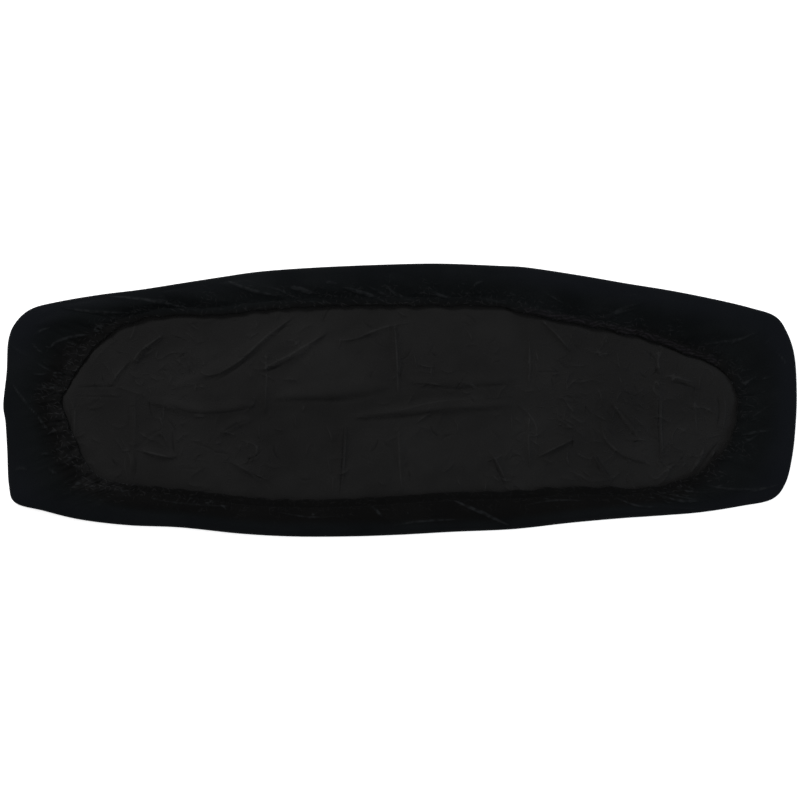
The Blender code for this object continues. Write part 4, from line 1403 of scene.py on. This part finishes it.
def yarn_grain_group():
    """Height of the cloth's own grain: ribs of the knit, and loose fibres over them."""
    group, given, height = new_group("yarn_grain", "Height", Rib_Pitch=0.0012, Rib_Height=1.0,
                                     Fibre_Size=0.0008, Fibre_Height=1.0)
    place = apart(group, object_place(group))
    turn = math_node(group, "DIVIDE", 2 * math.pi, given["Rib Pitch"])
    wales = math_node(group, "SINE", times(group, place["X"], turn))
    courses = math_node(group, "SINE", times(group, place["Y"], turn))
    ribs = times(group, plus(group, wales, courses), given["Rib Height"])
    fibres = noise_node(group, per_metre(group, given["Fibre Size"]))
    group.links.new(plus(group, ribs, times(group, fibres, given["Fibre Height"])), height)
    return group


yarn_grain = yarn_grain_group()
print("group:", yarn_grain.name)

# %% Short strokes of crushed cloth, on both sides
FAINTEST_STROKE = 0.4  # of the strongest


def short_strokes_group():
    """Straight strokes, one in each random cell: lenses at random angles around a lean."""
    group, given, mask = new_group("short_strokes", "Mask", Cell_Size=0.008, Half_Length=0.003,
                                   Half_Width=0.001, Coverage=0.5, Lean=0.0, Spread=1.57)
    place = object_place(group)
    cells = group.nodes.new("ShaderNodeTexVoronoi")
    cells.voronoi_dimensions = "2D"
    group.links.new(place, cells.inputs["Vector"])
    group.links.new(per_metre(group, given["Cell Size"]), cells.inputs["Scale"])
    from_centre = group.nodes.new("ShaderNodeVectorMath")
    from_centre.operation = "SUBTRACT"
    group.links.new(place, from_centre.inputs[0])
    group.links.new(cells.outputs["Position"], from_centre.inputs[1])
    local = apart(group, from_centre.outputs["Vector"])
    chance = group.nodes.new("ShaderNodeSeparateColor")
    group.links.new(cells.outputs["Color"], chance.inputs["Color"])
    either_way = math_node(group, "MULTIPLY_ADD", chance.outputs["Red"], 2.0, -1.0)
    angle = math_node(group, "MULTIPLY_ADD", either_way, given["Spread"], given["Lean"])
    cosine, sine = math_node(group, "COSINE", angle), math_node(group, "SINE", angle)
    x, y = local["X"], local["Y"]
    along = math_node(group, "MULTIPLY_ADD", x, cosine, times(group, y, sine))
    across = math_node(group, "SUBTRACT", times(group, y, cosine), times(group, x, sine))
    along = math_node(group, "ABSOLUTE", math_node(group, "DIVIDE", along, given["Half Length"]))
    along = math_node(group, "POWER", along, 2.0)
    across = math_node(group, "ABSOLUTE", math_node(group, "DIVIDE", across, given["Half Width"]))
    lens = math_node(group, "SUBTRACT", math_node(group, "SUBTRACT", 1.0, along), across)
    lens = math_node(group, "MAXIMUM", lens, 0.0)
    chosen = math_node(group, "GREATER_THAN", given["Coverage"], chance.outputs["Green"])
    strength = times(group, chance.outputs["Blue"], 1 - FAINTEST_STROKE)
    strength = plus(group, strength, FAINTEST_STROKE)
    group.links.new(times(group, lens, chosen, strength), mask)
    return group


short_strokes = short_strokes_group()
print("group:", short_strokes.name)

# %% A cloth's material and its colours
def new_cloth_material(name, **settings):
    """A material whose Principled BSDF has the constant values of a cloth on its own sockets."""
    material = bpy.data.materials.new(name)
    material.use_nodes = True
    shader = material.node_tree.nodes["Principled BSDF"]
    for label, value in {"Metallic": 0.0, **settings}.items():
        shader.inputs[label.replace("_", " ")].default_value = value
    return material, material.node_tree, shader.inputs


def place_group(tree, group, **values):
    """A group's one output, with its inputs set; underscores stand for spaces."""
    node = tree.nodes.new("ShaderNodeGroup")
    node.node_tree = group
    for label, value in values.items():
        node.inputs[label.replace("_", " ")].default_value = value
    return node.outputs[0]


def mix_colours(tree, colour, *layers):
    """A colour with others laid over it in turn, each one by its mask."""
    for mask, over in layers:
        node = tree.nodes.new("ShaderNodeMix")
        node.data_type = "RGBA"
        tree.links.new(mask, node.inputs["Factor"])
        for socket, value in ((node.inputs[6], colour), (node.inputs[7], over)):
            if isinstance(value, tuple):
                socket.default_value = (*value, 1.0)
            else:
                tree.links.new(value, socket)
        colour = node.outputs[2]
    return colour


print("helpers: new_cloth_material, place_group, mix_colours")

# %% Numbers on the mesh, ranges and bumps
def attribute_of(tree, name):
    """A number that the mesh keeps on its points."""
    node = tree.nodes.new("ShaderNodeAttribute")
    node.attribute_name = name
    return node.outputs["Fac"]


def spread(tree, value, low, high, to_low=0.0, to_high=1.0):
    """A value moved from one range to another, softly and without running over."""
    node = tree.nodes.new("ShaderNodeMapRange")
    node.interpolation_type = "SMOOTHSTEP"
    tree.links.new(value, node.inputs["Value"])
    for label, number in (("From Min", low), ("From Max", high), ("To Min", to_low), ("To Max", to_high)):
        node.inputs[label].default_value = number
    return node.outputs["Result"]


def bump(tree, height, distance, strength, under=None):
    """A Bump node, on top of another one if there is one."""
    node = tree.nodes.new("ShaderNodeBump")
    node.inputs["Strength"].default_value = strength
    node.inputs["Distance"].default_value = distance
    tree.links.new(height, node.inputs["Height"])
    if under is not None:
        tree.links.new(under, node.inputs["Normal"])
    return node.outputs["Normal"]


print("helpers: attribute_of, spread, bump")

# %% Creases and crushed strokes, as masks for painted highlight and shade
FINER_STRANDS = 3.0  # how many of them lie in one strand of the rolled hem
STRAND_DEPTH, FINER_DEPTH = 0.35, 0.15  # how far each moves the mask up and down from one half


def crest_and_trough(tree, crest_strength, trough_strength, broken, faintest=0.25):
    """Thin masks for painted highlights on crests and painted shade in troughs of creases, broken along
    their length.
    """
    creased = attribute_of(tree, "creased")
    line_breaks = spread(tree, noise_node(tree, broken), low=0.38, high=0.60, to_low=faintest)
    crest = spread(tree, creased, low=0.25, high=0.95, to_high=crest_strength)
    trough = spread(tree, times(tree, creased, -1.0), low=0.15, high=0.90, to_high=trough_strength)
    return times(tree, crest, line_breaks), times(tree, trough, line_breaks)


def crushed_strokes(tree, short, long):
    """Short and long strokes together, as strong as the cloth is crushed there."""
    short, long = (place_group(tree, short_strokes, **sizes) for sizes in (short, long))
    return times(tree, math_node(tree, "MAXIMUM", short, long), attribute_of(tree, "crushed"))


def rolled_strands(tree):
    """A mask of the strands of the back that show where the hem is rolled."""
    strand = attribute_of(tree, "strand")
    finer = math_node(tree, "SINE", times(tree, strand, FINER_STRANDS))
    twist = math_node(tree, "MULTIPLY_ADD", math_node(tree, "SINE", strand), STRAND_DEPTH, 0.5)
    twist = math_node(tree, "MULTIPLY_ADD", finer, FINER_DEPTH, twist)
    noise = noise_node(tree, scale=110.0, detail=3.0)
    uneven = spread(tree, noise, low=0.35, high=0.62, to_low=0.2)
    return times(tree, twist, attribute_of(tree, "rolled"), uneven)


print("masks: crest_and_trough, crushed_strokes, rolled_strands")

# %% Velvet
PILE_DEEP = (0.0018, 0.0022, 0.0024)
PILE_WORN = (0.0037, 0.0045, 0.0049)
PILE_SHEEN = (0.0040, 0.0047, 0.0062)  # painted sheen on the outer fold
# painted shade, near the hem and in the troughs of creases
PILE_PAINTED_SHADE = (0.0021, 0.0021, 0.0021)
PILE_RUFFLED = (0.0060, 0.0059, 0.0061)  # between the lines of the crushed pile
PILE_CREST_HIGHLIGHT = (0.0105, 0.0115, 0.0124)  # painted highlight on the crest of a crease
PILE_STROKE_HIGHLIGHT = (0.0235, 0.0232, 0.0242)  # painted highlights on the lines of the crushed pile near the hem
STRAND_OF_BACK = (0.0090, 0.0080, 0.0096)


def velvet_material():
    """Deep pile, with painted sheen on the outer fold, painted highlights on crests and crushed strokes,
    and painted shade near the hem and in troughs.
    """
    material, tree, shader = new_cloth_material(
        "black_velvet", Specular_IOR_Level=0.04, Sheen_Weight=0.05, Sheen_Roughness=0.35,
        Sheen_Tint=(0.80, 0.90, 1.0, 1.0),
    )
    dye = place_group(tree, uneven_dye, Patch_Size=0.11, Speckle_Size=0.0022,
                      Patch_Strength=1.5, Speckle_Strength=0.5)
    grain = place_group(tree, yarn_grain, Rib_Pitch=0.0020, Rib_Height=0.05,
                        Fibre_Size=0.0011, Fibre_Height=1.0)
    crushed = spread(tree, attribute_of(tree, "crushed"), low=0.35, high=0.95)
    patchy = spread(tree, noise_node(tree, scale=70.0), low=0.35, high=0.65, to_low=0.2)
    ruffled = times(tree, patchy, crushed)
    twist = rolled_strands(tree)
    crest, trough = crest_and_trough(tree, crest_strength=0.75, trough_strength=0.5, broken=85.0)
    # Short strokes in all directions, and longer ones along the cover, with a painted highlight
    strokes = crushed_strokes(
        tree,
        {"Cell_Size": 0.0085, "Half_Length": 0.0050, "Half_Width": 0.0010, "Coverage": 0.70},
        {"Cell_Size": 0.0130, "Half_Length": 0.0080, "Half_Width": 0.0011, "Coverage": 0.50,
         "Lean": -0.20, "Spread": 0.5},
    )
    # painted light in the colour: sheen on the outer fold, shade near the hem and in troughs, highlights
    # on crests and crushed strokes
    colour = mix_colours(
        tree, PILE_DEEP, (dye, PILE_WORN), (attribute_of(tree, "fold_sheen"), PILE_SHEEN),
        (attribute_of(tree, "hem_shade"), PILE_PAINTED_SHADE), (ruffled, PILE_RUFFLED), (twist, STRAND_OF_BACK),
        (crest, PILE_CREST_HIGHLIGHT), (trough, PILE_PAINTED_SHADE), (strokes, PILE_STROKE_HIGHLIGHT),
    )
    tree.links.new(colour, shader["Base Color"])
    roughness = spread(tree, dye, low=0.2, high=0.8, to_low=0.95, to_high=0.80)
    tree.links.new(roughness, shader["Roughness"])
    facets = bump(tree, plus(tree, strokes, twist), distance=0.0010, strength=0.8)
    noise = noise_node(tree, scale=140.0, detail=3.0, roughness=0.6)
    crush = bump(tree, noise, distance=0.0010, strength=0.5, under=facets)
    fibres = bump(tree, grain, distance=0.0003, strength=0.4, under=crush)
    tree.links.new(fibres, shader["Normal"])
    return material


cover.data.materials.append(velvet_material())
print("velvet nodes:", len(cover.data.materials[0].node_tree.nodes))

# %% The knitted back
BACK_DARK = (0.0060, 0.0059, 0.0059)
BACK_LIGHT = (0.0100, 0.0099, 0.0099)
# painted highlight, on crests of creases and on fine lines
BACK_HIGHLIGHT = (0.0150, 0.0150, 0.0150)
# painted shade, in troughs of creases
BACK_SHADE = (0.0040, 0.0040, 0.0040)
BACK_LINES = 0.4  # how strongly the painted highlight shows on the fine lines of its crumpled patches


def back_material():
    """The knitted back: charcoal, matt, with a fine rib, painted highlights on crests and fine lines, and
    painted shade in troughs.
    """
    material, tree, shader = new_cloth_material(
        "charcoal_knit_back", Specular_IOR_Level=0.06, Sheen_Weight=0.02, Sheen_Roughness=0.5
    )
    dye = place_group(tree, uneven_dye, Patch_Size=0.16, Speckle_Size=0.0018,
                      Patch_Strength=1.5, Speckle_Strength=0.4)
    grain = place_group(tree, yarn_grain, Rib_Pitch=0.0013, Rib_Height=0.5,
                        Fibre_Size=0.0009, Fibre_Height=0.8)
    crest, trough = crest_and_trough(
        tree, crest_strength=0.75, trough_strength=0.75, broken=60.0, faintest=0.5
    )
    strokes = crushed_strokes(
        tree,
        {"Cell_Size": 0.0090, "Half_Length": 0.0050, "Half_Width": 0.0013, "Coverage": 0.50},
        {"Cell_Size": 0.0200, "Half_Length": 0.0110, "Half_Width": 0.0014, "Coverage": 0.60},
    )
    # painted highlight on crests and fine lines, painted shade in troughs
    colour = mix_colours(
        tree, BACK_DARK, (dye, BACK_LIGHT), (crest, BACK_HIGHLIGHT), (trough, BACK_SHADE),
        (times(tree, strokes, BACK_LINES), BACK_HIGHLIGHT),
    )
    tree.links.new(colour, shader["Base Color"])
    roughness = spread(tree, dye, low=0.2, high=0.8, to_low=0.92, to_high=0.80)
    tree.links.new(roughness, shader["Roughness"])
    facets = bump(tree, strokes, distance=0.0012, strength=0.8)
    noise = noise_node(tree, scale=70.0, detail=4.0, roughness=0.6)
    crumple = bump(tree, noise, distance=0.0012, strength=0.4, under=facets)
    ribs = bump(tree, grain, distance=0.0002, strength=0.35, under=crumple)
    tree.links.new(ribs, shader["Normal"])
    return material


cover.data.materials.append(back_material())
print("back nodes:", len(cover.data.materials[1].node_tree.nodes))

# %% Thread, and the stitches made of it
def thread_material():
    """Black sewing thread, a little glossier than the pile."""
    material, tree, shader = new_cloth_material("black_thread", Specular_IOR_Level=0.08, Sheen_Weight=0.02)
    dye = place_group(tree, uneven_dye, Patch_Size=0.03, Speckle_Size=0.0010,
                      Patch_Strength=0.6, Speckle_Strength=0.6)
    twist = place_group(tree, yarn_grain, Rib_Pitch=0.0006, Rib_Height=1.0,
                        Fibre_Size=0.0004, Fibre_Height=0.5)
    tree.links.new(mix_colours(tree, PILE_DEEP, (dye, PILE_WORN)), shader["Base Color"])
    roughness = spread(tree, dye, low=0.2, high=0.8, to_low=0.75, to_high=0.55)
    tree.links.new(roughness, shader["Roughness"])
    tree.links.new(bump(tree, twist, distance=0.00008, strength=0.5), shader["Normal"])
    return material


stitches = lay_stitches(thread_material())
print(f"stitches: {len(stitches.data.polygons)} faces")

# %% [markdown]
# ## What stands for what
#
# The solid stays in the physics, and this sheet stands for it in pictures.

# %% Tie the pieces to the frame
for piece in (cover, stitches):
    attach(piece, "root")
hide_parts("cover_cloth")

# %% [markdown]
# ## Floor, light and camera
#
# The photograph is taken from straight above on pure white, and the cloth is almost black. Light
# that is bright enough to make a floor white would wash the velvet out, so the floor glows a little
# of its own. The main light is large and stands beyond the far left corner, low enough to give the
# folds a lighter and a darker side. A weak one overhead fills in, and a cooler one on the right
# lights the end there.

# %% Floor
FLOOR_SIZE = 6.0
FLOOR_GAP = 0.0005  # below the cloth
FLOOR_GLOW = 0.60

floor_mesh = bpy.data.meshes.new("floor")
corners = [(-1, -1), (1, -1), (1, 1), (-1, 1)]
floor_points = [(x * FLOOR_SIZE / 2, y * FLOOR_SIZE / 2, -FLOOR_GAP) for x, y in corners]
floor_mesh.from_pydata(floor_points, [], [(0, 1, 2, 3)])
floor = bpy.data.objects.new("floor", floor_mesh)
bpy.context.scene.collection.objects.link(floor)
pale = bpy.data.materials.new("pale_floor")
pale.use_nodes = True
for label, value in (
    ("Base Color", (0.9, 0.9, 0.9, 1.0)),
    ("Roughness", 0.9),
    ("Specular IOR Level", 0.1),
    ("Emission Color", (1.0, 1.0, 1.0, 1.0)),
    ("Emission Strength", FLOOR_GLOW),
):
    pale.node_tree.nodes["Principled BSDF"].inputs[label].default_value = value
floor_mesh.materials.append(pale)
print("floor:", FLOOR_SIZE, "m wide")

# %% Lights
COOL = (0.80, 0.90, 1.0)
WORLD_STRENGTH = 0.38


def add_light(name, place, target, size, power, colour=(1.0, 1.0, 1.0)):
    """A square soft light that looks at a target."""
    data = bpy.data.lights.new(name, "AREA")
    data.shape = "SQUARE"
    data.size = size
    data.energy = power
    data.color = colour
    light = bpy.data.objects.new(name, data)
    light.location = place
    light.rotation_euler = (Vector(target) - Vector(place)).to_track_quat("-Z", "Y").to_euler()
    bpy.context.scene.collection.objects.link(light)
    return light


add_light("far_left", place=(-1.5, 2.4, 2.45), target=(0, 0, 0), size=1.1, power=90.0)
add_light("overhead", place=(0.3, 0.1, 2.6), target=(0, 0, 0), size=2.2, power=15.0)
add_light("right", place=(2.6, -0.3, 1.3), target=(0.3, 0, 0), size=0.9, power=16.0, colour=COOL)
world = bpy.data.worlds.new("studio")
world.use_nodes = True
world.node_tree.nodes["Background"].inputs["Color"].default_value = (1.0, 1.0, 1.0, 1.0)
world.node_tree.nodes["Background"].inputs["Strength"].default_value = WORLD_STRENGTH
bpy.context.scene.world = world
bpy.context.scene.view_settings.view_transform = "Standard"
print("lights:", len(bpy.data.lights))

# %% Camera
LENS, SENSOR = 50.0, 36.0
WIDTH_IN_VIEW = 1.412  # of the photograph, at the cover
EYE_HEIGHT = WIDTH_IN_VIEW * LENS / SENSOR + RIM_HEIGHT / 2

camera_data = bpy.data.cameras.new("camera")
camera_data.lens = LENS
camera_data.sensor_width = SENSOR
camera = bpy.data.objects.new("camera", camera_data)
camera.location = (0.0, 0.0, EYE_HEIGHT)
bpy.context.scene.collection.objects.link(camera)
bpy.context.scene.camera = camera
print(f"camera {EYE_HEIGHT:.3f} m above the middle")
